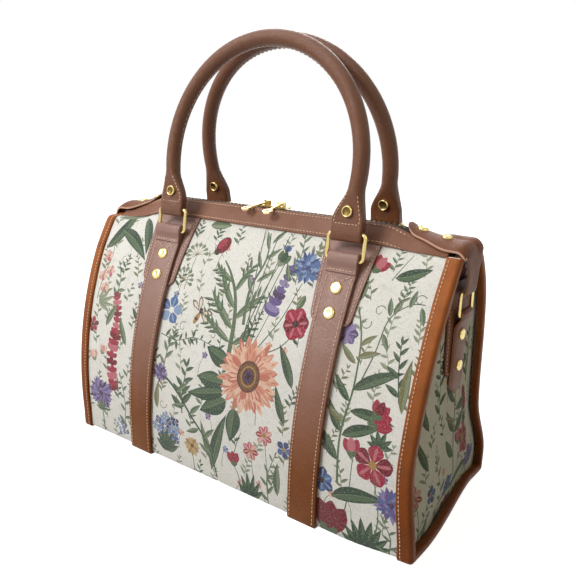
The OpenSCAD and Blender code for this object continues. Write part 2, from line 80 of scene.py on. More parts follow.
# Sizes of the scene's own
FOLD = 2.2
LOOP_END, LOOP_SEAM = 42.4, 40.6
SEAM_IN, SEAM_UP, PATCH_SEAM_UP = 2.2, 0.08, 0.05
STITCH_R, STITCH_UP = 0.37, 0.3
BINDING_INNER, BINDING_SEAM, BINDING_SWAY, BAND_SWAY = -5.2, 2.4, 0.3, 0.105
TAB_SEAM, TAB_SEAM_END, TAB_SEAM_IN, SEAM_FOOT = 6.4, 27.0, 2.3, 88.1
TAB_SQUARE, ROUND_SQUARE = 9.0, 2.0
CAP_SINK, CAP_SIDES = 0.1, 28
STRAP_CAP, HANDLE_CAP, SMALL_CAP = (4.5, 1.8), (4.2, 1.9), (4.0, 1.7)
SIDE_FOLD = 1.5
SHEET_DROP = 10.0
PANEL_IN, PANEL_W, PANEL_H, PANEL_SHARE = 1.75, 147.4, 199.0, 0.75
POINT_GAP, EDGE_GAP = 0.06, 0.05

# How far the soft body settles
DROOP = {LEFT: 12.0, RIGHT: 8.5}
BACK_DIP, END_ROLL, BASE_SAG, CORNER_LIFT = 5.0, 4.0, 2.4, 5.0
LEAN_OUT, PULL_IN, FLARE, SINK_ALONG, SINK_IN = 11.0, 1.0, 7.5, 4.0, 11.0
END_SWELL, RIM_SWELL, WRAP_LULL = 5.2, 1.0, 0.7

# Light: the floor's glow, and the room's at its left and right
WHITE, FLOOR_GLOW, ROOM_LIGHT = (1, 1, 1, 1), 0.94, (0.38, 0.05)

# The section's curve
BULGE = BASE + CORNER
RISE = HEIGHT - BULGE
RUN = (DEPTH - MOUTH) / 2
RADIUS = (RISE * RISE + RUN * RUN) / (2 * RUN)
MIDDLE = RADIUS - DEPTH / 2
TOP_ANGLE = math.asin(RISE / RADIUS)
ARC = RADIUS * TOP_ANGLE
SIDE_END = ARC + CORNER - FOLD
TURN_END = SIDE_END + FOLD * math.pi / 2
ROUND = 2 * TURN_END + DEPTH - 2 * FOLD

# A handle's curve
LOBE_ANGLES = [math.radians(a) for a in (14, 34, 56, 78)]
FOOT_X = HANDLE_R * math.cos(math.radians(HANDLE_LOW))
FOOT_Z = HANDLE_RISE - HANDLE_R * math.sin(math.radians(HANDLE_LOW))


def smooth(t):
    t = min(max(t, 0.0), 1.0)
    return t * t * (3 - 2 * t)


def mix(a, b, t):
    return a + (b - a) * t


def span(a, b, count):
    return [a + (b - a) * i / count for i in range(count + 1)]


def turns(count):
    """Angles round a circle."""
    return span(0, 2 * math.pi, count)[:-1]


def polar(angle, radius=1.0):
    """Direction in the plane of X and Z, from an angle in degrees."""
    a = math.radians(angle)
    return Vector((math.cos(a), 0, math.sin(a))) * radius


def section(s):
    """Point and outward normal, in Y and Z, s mm round the tapestry from the front of the mouth."""
    if s > ROUND / 2:
        (y, z), (ny, nz) = section(ROUND - s)
        return (-y, z), (-ny, nz)
    if s <= ARC:
        a = TOP_ANGLE - s / RADIUS
        n = (-math.cos(a), math.sin(a))
        return (MIDDLE + RADIUS * n[0], BULGE + RADIUS * n[1]), n
    if s <= SIDE_END:
        return (-DEPTH / 2, BULGE - (s - ARC)), (-1.0, 0.0)
    if s <= TURN_END:
        a = (s - SIDE_END) / FOLD
        n = (-math.cos(a), -math.sin(a))
        return (FOLD - DEPTH / 2 + FOLD * n[0], BASE + FOLD + FOLD * n[1]), n
    return (FOLD - DEPTH / 2 + s - TURN_END, BASE), (0.0, -1.0)


def steps_round(start, *counts):
    """Distances round the section, with counts of steps for curve, side, fold and half the base."""
    stops = (start, ARC, SIDE_END, TURN_END, ROUND / 2)
    steps = [start]
    for low, high, count in zip(stops, stops[1:], counts):
        steps += span(low, high, count)[1:]
    return steps


def slump(p):
    """How the soft body settles: its ends droop and roll over, one leans out and one back edge sinks in."""
    x, y, z = p
    end = smooth((abs(x) - 102) / 52)
    top = smooth((z - 188) / 22) if x < 0 else smooth((z - 196) / 15)
    held = 1 - smooth((x - 118) / 30) * smooth(y / 12)
    dx = dy = 0.0
    dz = -end * top * DROOP[LEFT if x < 0 else RIGHT]
    dz -= BACK_DIP * held * smooth((z - 190) / 20) * smooth((y - 2) / 7)
    dz -= BASE_SAG * smooth((22 - z) / 16) * smooth((abs(y) - 40) / 30)
    dz += CORNER_LIFT * smooth((x - 120) / 47) * smooth((-y - 40) / 38) * smooth((30 - z) / 30)
    dz -= END_ROLL * held * top * smooth((abs(x) - 105) / 20) * min((y / 15) ** 2, 1.3)
    if x < 0:
        dx -= LEAN_OUT * smooth((-x - 60) / 105) * min(max((z - 18) / 145, 0.0), 1.0) * (1 - 0.3 * top)
    else:
        dx -= PULL_IN * smooth((x - 135) / 30) * smooth((z - 190) / 18)
        dx += FLARE * smooth((x - 110) / 55) * smooth((75 - z) / 75) * smooth((60 - y) / 110)
        sink = smooth((x - 70) / 90) * smooth((y - 10) / 40) * smooth((z - 16) / 52)
        sink *= 1 - smooth((z - 72) / 125)
        dx -= SINK_ALONG * sink
        dy -= SINK_IN * sink
    return Vector((x + dx, y + dy, max(z + dz, min(z, 0.0))))


def on_body(x, s, off=0.0):
    (y, z), (ny, nz) = section(s)
    return Vector((x, y + ny * off, z + nz * off))


def body_normal(s):
    return Vector((0, *section(s)[1]))


def mirrored(p):
    """The same point at the other face of the bag."""
    return Vector((p.x, -p.y, p.z))


def face_s(face, drop):
    return drop if face == FRONT else ROUND - drop


def strap_off(s):
    """Height of the strap's face over the tapestry."""
    s = min(s, ROUND - s)
    if s >= ARC:
        return STRAP_T
    a = TOP_ANGLE - s / RADIUS
    big = math.hypot(RADIUS + STRAP_T, STRAP_RISE)
    return STRAP_RISE * math.sin(a) + math.sqrt(big * big - (STRAP_RISE * math.cos(a)) ** 2) - RADIUS


# Colours and materials

def rgb(code):
    """Linear colour from a hexadecimal code."""
    parts = [int(code[i:i + 2], 16) / 255 for i in (1, 3, 5)]
    return [c / 12.92 if c <= 0.04045 else ((c + 0.055) / 1.055) ** 2.4 for c in parts] + [1.0]


class Nodes:
    """The nodes of a material or world, with short ways to add and join them."""

    def __init__(self, owner, kind="Material"):
        owner.use_nodes = True
        self.tree = owner.node_tree
        self.tree.nodes.clear()
        self.out = self.add("Output" + kind)

    def add(self, kind, sockets=None, **settings):
        node = self.tree.nodes.new("ShaderNode" + kind)
        for key, value in settings.items():
            setattr(node, key, value)
        for key, value in (sockets or {}).items():
            self.plug(node.inputs[key], value)
        return node

    def plug(self, socket, value):
        if isinstance(value, bpy.types.NodeSocket):
            self.tree.links.new(value, socket)
        else:
            socket.default_value = rgb(value) if isinstance(value, str) else value

    def show(self, node):
        self.plug(self.out.inputs[0], node.outputs[0])

    def set(self, name, value):
        self.plug(self.bsdf.inputs[name], value)

    def mix(self, factor, a, b, blend="MIX"):
        return self.add("Mix", {0: factor, 6: a, 7: b}, data_type="RGBA", blend_type=blend).outputs[2]

    def spread(self, value, low, high, to_low=0.0, to_high=1.0):
        ends = {"From Min": low, "From Max": high, "To Min": to_low, "To Max": to_high}
        return self.add("MapRange", {"Value": value, **ends}).outputs[0]

    def maths(self, kind, a, b):
        return self.add("Math", {0: a, 1: b}, operation=kind).outputs[0]

    def noise(self, scale, detail=2.0, rough=0.5):
        sockets = {"Vector": self.place, "Scale": scale, "Detail": detail, "Roughness": rough}
        return self.add("TexNoise", sockets).outputs["Fac"]

    def wave(self, direction, scale, distortion=0.0):
        sockets = {"Vector": self.place, "Scale": scale, "Distortion": distortion}
        detail = {"Detail": 1.0, "Detail Scale": 3.0}
        return self.add("TexWave", {**sockets, **detail}, bands_direction=direction).outputs["Fac"]

    def bump(self, height, distance, strength):
        node = self.add("Bump", {"Height": height, "Distance": distance, "Strength": strength})
        self.set("Normal", node.outputs[0])

    def seen(self):
        """1 for rays that show the stage itself: from the camera, off gloss or through glass."""
        path = self.add("LightPath").outputs
        seen = self.maths("MAXIMUM", path["Is Camera Ray"], path["Is Glossy Ray"])
        return self.maths("MAXIMUM", seen, path["Is Transmission Ray"])


def surface(name, place=("TexCoord", "Object"), **settings):
    """A new material and its nodes; textures are placed by the object's own coordinates or the given ones."""
    mat = bpy.data.materials.new(name)
    nodes = Nodes(mat)
    nodes.bsdf = nodes.add("BsdfPrincipled")
    nodes.show(nodes.bsdf)
    kind, output = place
    nodes.place = nodes.add(kind, **settings).outputs[output]
    return mat, nodes


def tapestry_material():
    """Woven print: the colour comes from the mesh, the threads from the cloth's own coordinates in metres."""
    mat, n = surface("tapestry", ("UVMap", "UV"), uv_map="cloth")
    weave = n.maths("MULTIPLY", n.wave("Y", 450.0, 0.6), n.wave("X", 560.0, 0.5))
    fleck = n.noise(900.0, 2.0, 0.6)
    threads = n.add("VertexColor", layer_name="print").outputs[0]
    for grain, low, high, share, tone in (
            (fleck, 0.55, 0.72, 0.42, "#d9d2bd"),
            (n.noise(620.0, 3.0, 0.7), 0.5, 0.72, 0.34, "#8a897a"),
            (n.noise(140.0, 3.0, 0.6), 0.52, 0.75, 0.16, "#77776a"),
            (n.noise(18.0), 0.4, 0.7, 0.1, "#c3bfae")):
        threads = n.mix(n.spread(grain, low, high, 0.0, share), threads, tone)
    n.set("Base Color", n.mix(0.3, threads, n.spread(weave, 0.0, 1.0, 0.45, 1.0), "MULTIPLY"))
    n.set("Roughness", 0.9)
    n.set("Specular IOR Level", 0.2)
    n.set("Sheen Weight", 0.12)
    n.bump(n.maths("ADD", weave, n.spread(fleck, 0.2, 0.8, 0.0, 0.8)), 0.0003, 0.6)
    return mat


def leather_material(name, high, low, rough=(0.38, 0.56), sheen=(0.38, 0.38)):
    """Grained leather whose colour and sheen change down the bag: the upper colour is lighter and greyer as a
    painted sheen, the lower one darker as a painted shade; the attribute cut marks raw edges.
    """
    mat, n = surface(name)
    z = n.add("SeparateXYZ", {0: n.place}).outputs[2]
    cloud = n.noise(55.0, 4.0, 0.6)
    fine = n.noise(900.0, 3.0, 0.65)
    cells = {"Vector": n.place, "Scale": 1050.0, "Randomness": 0.9}
    cell = n.add("TexVoronoi", cells, feature="DISTANCE_TO_EDGE").outputs[0]
    # Painted light: the colour high at the top is a painted sheen, lighter and greyer, and the colour low at
    # the bottom a painted shade, darker.
    tone = n.mix(n.spread(z, 0.16, 0.03), high, low)
    tone = n.mix(n.spread(cloud, 0.35, 0.7, 0.0, 0.5), tone, "#663a20")
    tone = n.mix(n.spread(fine, 0.5, 0.8, 0.0, 0.2), tone, "#b07d62")
    n.set("Base Color", n.mix(n.add("Attribute", attribute_name="cut").outputs["Fac"], tone, "#c79d86"))
    n.set("Roughness", n.spread(cloud, 0.3, 0.7, *rough))
    n.set("Specular IOR Level", n.spread(z, 0.13, 0.04, *sheen))
    n.bump(n.maths("ADD", n.spread(cell, 0.0, 0.25), n.maths("MULTIPLY", fine, 0.8)), 0.00022, 0.5)
    return mat


def metal_material(name, colour, rough, tarnish):
    mat, n = surface(name)
    cloud = n.noise(320.0, 3.0)
    n.set("Base Color", n.mix(n.spread(cloud, 0.5, 0.8, 0.0, 0.5), colour, tarnish))
    n.set("Metallic", 1.0)
    n.set("Roughness", n.spread(cloud, 0.3, 0.7, rough * 0.7, rough * 1.4))
    n.bump(n.noise(1500.0), 0.00003, 0.3)
    return mat


def thread_material():
    mat, n = surface("thread")
    twist = n.noise(1800.0)
    n.set("Base Color", n.mix(n.spread(twist, 0.3, 0.75), "#e6cdb4", "#c79b7c"))
    n.set("Roughness", 0.75)
    n.bump(twist, 0.0002, 0.5)
    return mat


def cloth_material(name, colour, dark, scale):
    mat, n = surface(name)
    grain = n.noise(scale, 3.0)
    n.set("Base Color", n.mix(n.spread(grain, 0.3, 0.7), colour, dark))
    n.set("Roughness", 0.9)
    n.bump(n.maths("ADD", n.wave("X", scale * 0.4), grain), 0.0002, 0.4)
    return mat


TAPESTRY = tapestry_material()
# Strap leather: a painted sheen at the top, greyer and lighter, and a painted shade at the bottom, darker and
# warmer.
LEATHER = leather_material("leather", "#784b3b", "#75400f", (0.32, 0.5), (0.85, 0.15))
HANDLE_LEATHER = leather_material("handle_leather", "#6a3c1e", "#6a3c1e", (0.24, 0.4), (0.34, 0.34))
BAND = leather_material("band_leather", "#7c503b", "#7c503b")
# Tan binding, darker towards the bottom as painted shade.
BINDING = leather_material("tan_leather", "#9f5821", "#783b0d", sheen=(0.18, 0.1))
# Darker, less glossy copy of the leather for the pieces on the ends: its darker colour is painted shade for
# the ends, which lie out of the light.
END_LEATHER_IN_PAINTED_SHADE = leather_material("end_leather_painted_shade", "#6e3d22", "#6e3d22", sheen=(0.2, 0.2))
BRASS = metal_material("brass", "#dcc687", 0.24, "#8d7a45")
# Dark brass: the zip teeth's own colour, and painted shade in the hollows of the eyelets.
DARK_BRASS_AND_HOLLOW_SHADE = metal_material("dark_brass_and_hollow_shade", "#6b5632", 0.4, "#2d2415")
THREAD = thread_material()
TAPE = cloth_material("zip_tape", "#3a2822", "#241814", 900.0)
LINING = cloth_material("lining", "#6b5646", "#54432f", 500.0)
CORE = cloth_material("core", "#cbb48a", "#a58e63", 700.0)
BOARD = cloth_material("board", "#4a4744", "#3a3836", 400.0)


# Meshes

def link(obj):
    bpy.context.scene.collection.objects.link(obj)


def settle(obj, body, stands_for):
    """Links a piece to the scene and to the frame."""
    link(obj)
    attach(obj, body)
    if stands_for:
        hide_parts(*stands_for)


def piece(name, shape, mats, slot, body="bag", stands_for=(), sharp=42, cut=None):
    """A mesh object from points in mm that rides on a body; cut is each point's share of raw edge."""
    verts, faces = shape
    if body == "bag":
        verts = [slump(v) for v in verts]
    mesh = bpy.data.meshes.new(name)
    mesh.from_pydata([(v[0] * MM, v[1] * MM, v[2] * MM) for v in verts], [], faces)
    bm = bmesh.new()
    bm.from_mesh(mesh)
    bmesh.ops.recalc_face_normals(bm, faces=bm.faces)
    bm.to_mesh(mesh)
    bm.free()
    for mat in mats if isinstance(mats, list) else [mats]:
        mesh.materials.append(mat)
    mesh.polygons.foreach_set("use_smooth", [True] * len(mesh.polygons))
    mesh.set_sharp_from_angle(angle=math.radians(sharp))
    if cut is not None:
        mesh.attributes.new("cut", "FLOAT", "POINT").data.foreach_set("value", cut)
    obj = bpy.data.objects.new(name, mesh)
    settle(obj, body, stands_for)
    return obj


def dress(node, kind, shape, mats, slot, **more):
    """A piece that stands for a node and is named after it."""
    return piece(node + "_" + kind, shape, mats, slot, stands_for=[node], **more)


def loft(rings, closed=False):
    n = len(rings[0])
    verts = [p for ring in rings for p in ring]
    faces = []
    for i in range(len(rings) if closed else len(rings) - 1):
        a, b = i * n, (i + 1) % len(rings) * n
        for j in range(n):
            k = (j + 1) % n
            faces.append((a + j, a + k, b + k, b + j))
    if not closed:
        faces.append(tuple(reversed(range(n))))
        faces.append(tuple(range(len(verts) - n, len(verts))))
    return verts, faces


def join(parts):
    verts, faces = [], []
    for v, f in parts:
        faces += [tuple(i + len(verts) for i in face) for face in f]
        verts += v
    return verts, faces


def corners(half_x, low, high, r, steps):
    """Quarter circles at the corners of a box, as lists of points from the upper right one on."""
    right, top, bottom = half_x - r, high - r, low + r
    for x, z, start in ((right, top, 0), (-right, top, 90), (-right, bottom, 180), (right, bottom, 270)):
        angles = [math.radians(start + 90 * i / steps) for i in range(steps + 1)]
        yield [(x + r * math.cos(a), z + r * math.sin(a)) for a in angles]


def rounded(half, low, high, r, steps=3, wide=0):
    """Outline of a strip's cross-section, rounded at its corners, with wide more points across each face."""
    points = []
    for i, corner in enumerate(corners(half, low, high, min(r, half * 0.9, (high - low) * 0.48), steps)):
        points += corner
        if wide and i in (0, 2):
            x, z = corner[-1]
            points += [(mix(x, -x, (k + 1) / (wide + 1)), z) for k in range(wide)]
    return points


def ribbon(stations, r=0.5, wide=0):
    """Solid strip through stations of (centre, across, out, half width, low, high), with its ends eased."""
    rings = []
    for i, (centre, across, out, half, low, high) in enumerate(stations):
        ease = 0.45 if i in (0, len(stations) - 1) else 0.0
        middle = (low + high) / 2
        outline = rounded(half, mix(low, middle, ease), mix(high, middle, ease), r, 3, wide)
        rings.append([centre + across * w + out * h for w, h in outline])
    return loft(rings)


def wire_ring(place, width, height, wire, sides):
    """Round wire bent to a ring with rounded corners; place maps its plane to space."""
    path = []
    for corner in corners(width / 2, -height / 2, height / 2, RING_R, 6):
        path += [place(u, w) for u, w in corner]
    rings = []
    for i, p in enumerate(path):
        t = (path[(i + 1) % len(path)] - path[i - 1]).normalized()
        side = t.cross(Vector((0.31, 0.9, 0.29))).normalized()
        up = side.cross(t)
        rings.append([p + (side * math.cos(a) + up * math.sin(a)) * (wire / 2) for a in turns(sides)])
    return loft(rings, closed=True)


# Stitches

def stitch(at, along, out, length):
    side = along.cross(out).normalized()
    rings = []
    for t, size in ((-0.5, 0.25), (-0.3, 1.0), (0.3, 1.0), (0.5, 0.25)):
        base = at + along * (t * length) + out * (STITCH_UP * (size - 0.45))
        r = STITCH_R * size
        rings.append([base + side * (math.cos(a) * r) + out * (math.sin(a) * r * 0.8) for a in turns(6)])
    return loft(rings)


seams = {}


def sew(body, points, normals, pitch=2.9, length=2.0):
    """Stitches along a line of points, kept until all those of a body are joined."""
    parts = seams.setdefault(body, [])
    total = 0.0
    want = pitch / 2
    for a, b, out_a, out_b in zip(points, points[1:], normals, normals[1:]):
        step = (b - a).length
        if step < 1e-6:
            continue
        while want <= total + step:
            t = (want - total) / step
            parts.append(stitch(a.lerp(b, t), (b - a) / step, out_a.lerp(out_b, t).normalized(), length))
            want += pitch
        total += step


def sew_on(face, rows, **how):
    """Stitches on the bag through rows of x, drop below the mouth and height over the tapestry."""
    line = [face_s(face, drop) for _, drop, _ in rows]
    points = [on_body(x, s, off) for (x, _, off), s in zip(rows, line)]
    sew("bag", points, [body_normal(s) for s in line], **how)


# Leather on the front and back

def lean_frame(face):
    """Origin on a ring's lower bar, and the directions up and out in the plane of the ring and handle."""
    bar = on_body(0, LOOP_DROP, STRAP_LOW + LOOP_R)
    up = Vector((0, math.sin(LEAN), math.cos(LEAN)))
    out = Vector((0, -math.cos(LEAN), math.sin(LEAN)))
    return (bar, up, out) if face == FRONT else (mirrored(bar), mirrored(up), mirrored(out))


def strap_height(drop):
    """Height of the strap's face: the loop's leather comes down on it and ends in a step."""
    if drop > LOOP_END:
        return strap_off(drop)
    swell = 1 - smooth((drop - LOOP_DROP) / 8)
    return mix(strap_off(drop) + 1.1, STRAP_LOW + 2 * LOOP_R, swell)


def strap_stations(x):
    """Pairs of points through a strap's thickness, from the front loop under the bag to the back loop."""
    bar, up, out = lean_frame(FRONT)
    bar = bar + X * x
    pairs = []
    for a in LOBE_ANGLES:
        nose = bar + up * (LOBE + LOBE_R * math.cos(a))
        wide = out * (LOBE_R * math.sin(a))
        pairs.append((nose - wide, nose + wide))
    n = body_normal(LOOP_DROP)
    pairs.append((bar - n * LOOP_R, bar + n * LOOP_R))
    for s in [35.0, 36.5, 38.0, 39.6, 41.2, 42.0, 42.3, 42.6] + steps_round(44, 34, 3, 6, 6):
        low = mix(STRAP_LOW, 0.15, smooth((s - PATCH_DROP) / 4))
        pairs.append((on_body(x, s, low), on_body(x, s, strap_height(s))))
    return pairs + [(mirrored(low), mirrored(high)) for low, high in reversed(pairs[:-1])]


def strap(side):
    x = side * STRAP_X
    half = STRAP_W / 2
    stations = [(low, X, (high - low).normalized(), half, 0.0, (high - low).length)
                for low, high in strap_stations(x)]
    dress("strap_" + SIDE[side], "leather", ribbon(stations, 0.7), LEATHER, "leather")
    across, corner, point = half - 2.4, half - 3.0, 2.0
    routes = [((-across, LOOP_SEAM), (across, LOOP_SEAM))]
    routes += [((hand * corner, 43.4), (hand * point, 48.2)) for hand in (-1, 1)]
    for face in (FRONT, BACK):
        for hand in (-1, 1):
            edge = x + hand * (half - SEAM_IN)
            sew_on(face, [(edge, d, strap_height(d) + SEAM_UP) for d in span(44.5, SIDE_END, 60)])
        for (x0, d0), (x1, d1) in routes:
            line = [(x + mix(x0, x1, t), mix(d0, d1, t)) for t in span(0, 1, 8)]
            sew_on(face, [(w, d, strap_height(d) + SEAM_UP) for w, d in line], pitch=2.7, length=1.9)


def patch_half(down, length):
    """Half width of a patch, measured from its top edge."""
    past = down - (length - PATCH_R)
    if past > 0:
        half = PATCH_END - PATCH_R + math.sqrt(max(PATCH_R ** 2 - past ** 2, 0.0))
    else:
        half = PATCH_END - past * math.tan(math.radians(PATCH_TAPER))
    return max(half, PATCH_END - PATCH_R)


def patch_downs(length):
    bend = [length - PATCH_R * (1 - math.sin(math.radians(a))) for a in (15, 30, 45, 58, 70, 80, 87)]
    return [0.0, 0.4] + span(3, length - PATCH_R, 14) + bend + [length - 0.01]


def patch_seam(length):
    """Line of a patch's stitches, across and down, a little inside its edge."""
    edge = [(patch_half(d, length) - SEAM_IN, min(d, length - SEAM_IN)) for d in patch_downs(length)]
    return [(-w, d) for w, d in edge] + edge[::-1]


def strap_patch(face, side):
    top = BAND_W + PLY
    length = PATCH_DROP - top
    x = side * STRAP_X
    stations = []
    for down in patch_downs(length):
        s = face_s(face, top + down)
        stations.append((on_body(x, s), X, body_normal(s), patch_half(down, length), PLY, PLY + PATCH_T))
    dress("strap_patch_%s_%s" % (FACE[face], SIDE[side]), "leather", ribbon(stations), LEATHER, "leather")
    sew_on(face, [(x + w, top + d, PLY + PATCH_T + PATCH_SEAM_UP) for w, d in patch_seam(length)])


def zip_band(face):
    s = face_s(face, BAND_W / 2)
    out = body_normal(s)
    across = X.cross(out)
    reach = END - BINDING_W - PLY
    stations = []
    for x in [-reach, 0.4 - reach] + span(-reach, reach, 80)[1:-1] + [reach - 0.4, reach]:
        half = BAND_W / 2 - 0.15 + BAND_SWAY * noise.noise(Vector((x * 0.03, face * 3.0, 0.5)))
        stations.append((on_body(x, s), across, out, half, PLY, PLY + BAND_T))
    dress("zip_band_" + FACE[face], "leather", ribbon(stations, 0.6), BAND, "leather")
    for drop in (SEAM_IN, BAND_W - SEAM_IN):
        sew_on(face, [(x, drop, PLY + BAND_T + SEAM_UP) for x in span(3 - reach, reach - 3, 90)])


def binding(side):
    """Leather folded over the edge of an end, swept round the section."""
    edge, inner, top = END - BINDING_W, BINDING_INNER, PLY + BINDING_T
    outline = [(edge, PLY), (edge, 1.2), (edge + 0.6, top)]
    for r, z, angles in ((3.0, top - 3.0, span(90, 0, 6)), (1.8, inner + 1.8, span(0, -90, 5))):
        outline += [(END - r + p.x, z + p.z) for p in (polar(a, r) for a in angles)]
    outline += [(END - BINDING_IN, inner), (END - BINDING_IN, inner + 1.6)]
    outline += [(END - 2.2, inner + 2.2), (END - 2.2, PLY)]
    rings = []
    for s in steps_round(BINDING_DROP, 44, 3, 8, 10):
        wave = BINDING_SWAY * noise.noise(Vector((s * 0.05, side * 5.0, 1.5)))
        rings.append([on_body(side * (x + (wave if x < edge + 1 else 0.0)), s, off) for x, off in outline])
    rings += [[mirrored(p) for p in ring] for ring in reversed(rings[:-1])]
    dress("binding_" + SIDE[side], "leather", loft(rings), BINDING, "tan_leather")
    line = span(BINDING_DROP + 12, ROUND - BINDING_DROP - 12, 170)
    sew_on(FRONT, [(side * (edge + BINDING_SEAM), s, top + SEAM_UP) for s in line])


# Rings and handles

def ring(face, side):
    bar, up, _ = lean_frame(face)
    middle = bar + X * (side * STRAP_X) + up * (RING_PITCH / 2)
    shape = wire_ring(lambda u, w: middle + X * u + up * w, RING_W, RING_PITCH, WIRE, 16)
    dress("ring_%s_%s" % (FACE[face], SIDE[side]), "wire", shape, BRASS, "brass", body=FACE[face] + "_rings")


def handle_outline(half, thick, power):
    """Cross-section of a handle: round where power is 2, squarer above."""
    points = []
    for a in turns(32):
        c, s = math.cos(a), math.sin(a)
        points.append((half * math.copysign(abs(c) ** (2 / power), c),
                       thick * math.copysign(abs(s) ** (2 / power), s)))
    return points


def handle_path():
    """Half a handle, in its plane: places with direction, half width, half thickness and squareness."""
    upright, half, r = (0.0, 1.0), STRAP_W / 2, HANDLE_D / 2
    tab = [(-LOBE - LOBE_R * math.cos(a), LOBE_R * math.sin(a)) for a in LOBE_ANGLES]
    tab += [(0.0, LOOP_R), (2.5, 3.75), (5.0, 3.45), (7.5, 3.25), (TAB_H, TAB_T / 2)]
    path = [((STRAP_X, w), upright, half, thick, TAB_SQUARE) for w, thick in tab]
    for t in span(0, 1, 12)[1:]:
        shape = smooth(t)
        place = (mix(STRAP_X, FOOT_X, shape), mix(TAB_H, FOOT_Z, t))
        square = mix(TAB_SQUARE, ROUND_SQUARE, shape ** 0.5)
        path.append((place, (0.12 * t, 1.0), mix(half, r, shape ** 0.8), mix(TAB_T / 2, r, shape), square))
    for a in span(-HANDLE_LOW, 90, 30)[1:]:
        d = polar(a)
        path.append(((HANDLE_R * d.x, HANDLE_RISE + HANDLE_R * d.z), (-d.z, d.x), r, r, ROUND_SQUARE))
    return path


def handle(face):
    bar, up, out = lean_frame(face)
    origin = bar + up * RING_PITCH
    rings = []
    for (x, w), (tx, tw), half, thick, power in handle_path():
        across = (X * tw - up * tx) / math.hypot(tx, tw)
        centre = origin + X * x + up * w
        rings.append([centre + across * u + out * n for u, n in handle_outline(half, thick, power)])
    rings += [[Vector((-p.x, p.y, p.z)) for p in ring] for ring in reversed(rings[:-1])]
    body = FACE[face] + "_handle"
    dress("handle_" + FACE[face], "leather", loft(rings), HANDLE_LEATHER, "leather", body=body)
    for side in (LEFT, RIGHT):
        for hand in (-1, 1):
            points = []
            for w in span(TAB_SEAM, TAB_SEAM_END, 20):
                t = smooth((w - TAB_H) / (FOOT_Z - TAB_H))
                half = mix(STRAP_W, HANDLE_D, t ** 0.8) / 2 - TAB_SEAM_IN
                thick = mix(TAB_T, HANDLE_D, t) / 2 if w > TAB_H else 3.3
                x = mix(STRAP_X, SEAM_FOOT, t) + hand * half
                points.append(origin + X * (side * x) + up * w + out * (thick + 0.02 - 0.9 * t))
            sew(body, points, [out] * len(points))
        points = [origin + X * (side * STRAP_X + u) + up * TAB_SEAM + out * 3.42 for u in span(-9.6, 9.6, 8)]
        sew(body, points, [out] * len(points), pitch=2.7, length=1.9)
    directions = [X * p.x + up * p.z for p in (polar(a) for a in span(4, 176, 120))]
    top = origin + up * HANDLE_RISE
    under = [top + d * (HANDLE_R - HANDLE_D / 2 - 0.02) for d in directions]
    sew(body, under, [-d for d in directions], pitch=4.2, length=2.6)


# Rivets

DOME = ((1.0, 0.0), (1.0, 0.38), (0.94, 0.68), (0.8, 0.92),
        (0.62, 1.0), (0.46, 0.94), (0.3, 0.84), (0.0, 0.8))
EYELET = ((1.0, 0.0), (1.0, 0.45), (0.94, 0.85), (0.84, 1.0),
          (0.72, 0.9), (0.64, 0.62), (0.56, 0.5), (0.0, 0.62))


def cap(at, out, size, profile=DOME):
    """A rivet's cap, turned from a profile of shares of its radius and height."""
    radius, height = size
    side = out.cross(Vector((0.2, 0.35, 0.91))).normalized()
    up = out.cross(side)
    rings = []
    for r, h in profile:
        centre = at + out * (h * height)
        r = max(r * radius, 0.02)
        rings.append([centre + (side * math.cos(a) + up * math.sin(a)) * r for a in turns(CAP_SIDES)])
    return loft(rings)


def rivets():
    def group(name, caps, node, mats=BRASS, body="bag"):
        return piece(name + "_caps", join(caps), mats, "brass", body, [node])

    caps = []
    for face in (FRONT, BACK):
        for side in (LEFT, RIGHT):
            for drop in RIVET_DROPS:
                s = face_s(face, drop)
                at = on_body(side * STRAP_X, s, strap_off(drop) - CAP_SINK)
                caps.append(cap(at, body_normal(s), STRAP_CAP))
    group("strap_rivet", caps, "strap_rivets")
    for face in (FRONT, BACK):
        bar, up, out = lean_frame(face)
        origin = bar + up * (RING_PITCH + HANDLE_RIVET)
        caps = [cap(origin + X * (side * STRAP_X) + out * (hand * 3.75), out * hand, HANDLE_CAP, EYELET)
                for side in (LEFT, RIGHT) for hand in (1, -1)]
        name = "handle_rivets_" + FACE[face]
        # The eyelets' hollows take the dark brass as painted shade.
        paint_hollow_shade(group(name, caps, name, [BRASS, DARK_BRASS_AND_HOLLOW_SHADE], FACE[face] + "_handle"))
    hood_z = hood_base() + HOOD_T - CAP_SINK
    caps = [cap(Vector((side * (END - HOOD_L + x), 0, hood_z + hood_lift(x))), Z, SMALL_CAP)
            for side in (LEFT, RIGHT) for x in HOOD_RIVETS]
    group("hood_rivet", caps, "hood_rivets")
    side_x = ANCHOR_X + ANCHOR_T - CAP_SINK
    caps = [cap(Vector((side * side_x, 0, ANCHOR_BAR_Z - down)), X * side, SMALL_CAP)
            for side in (LEFT, RIGHT) for down in ANCHOR_RIVETS]
    group("side_rivet", caps, "side_rivets")


def paint_hollow_shade(obj):
    """Gives the hollows of eyelets their second material, the dark brass, as painted shade."""
    rows = len(EYELET) - 1
    per = rows * CAP_SIDES + 2
    for i, poly in enumerate(obj.data.polygons):
        if 4 <= i % per // CAP_SIDES < rows or i % per == per - 1:
            poly.material_index = 1


# End hardware

def hood_base():
    return on_body(0, 0, PLY + BAND_T).z + PLY


def hood_lift(x):
    """How far a hood's tip curls up, x mm from it."""
    return 1.6 * smooth((9 - x) / 9)


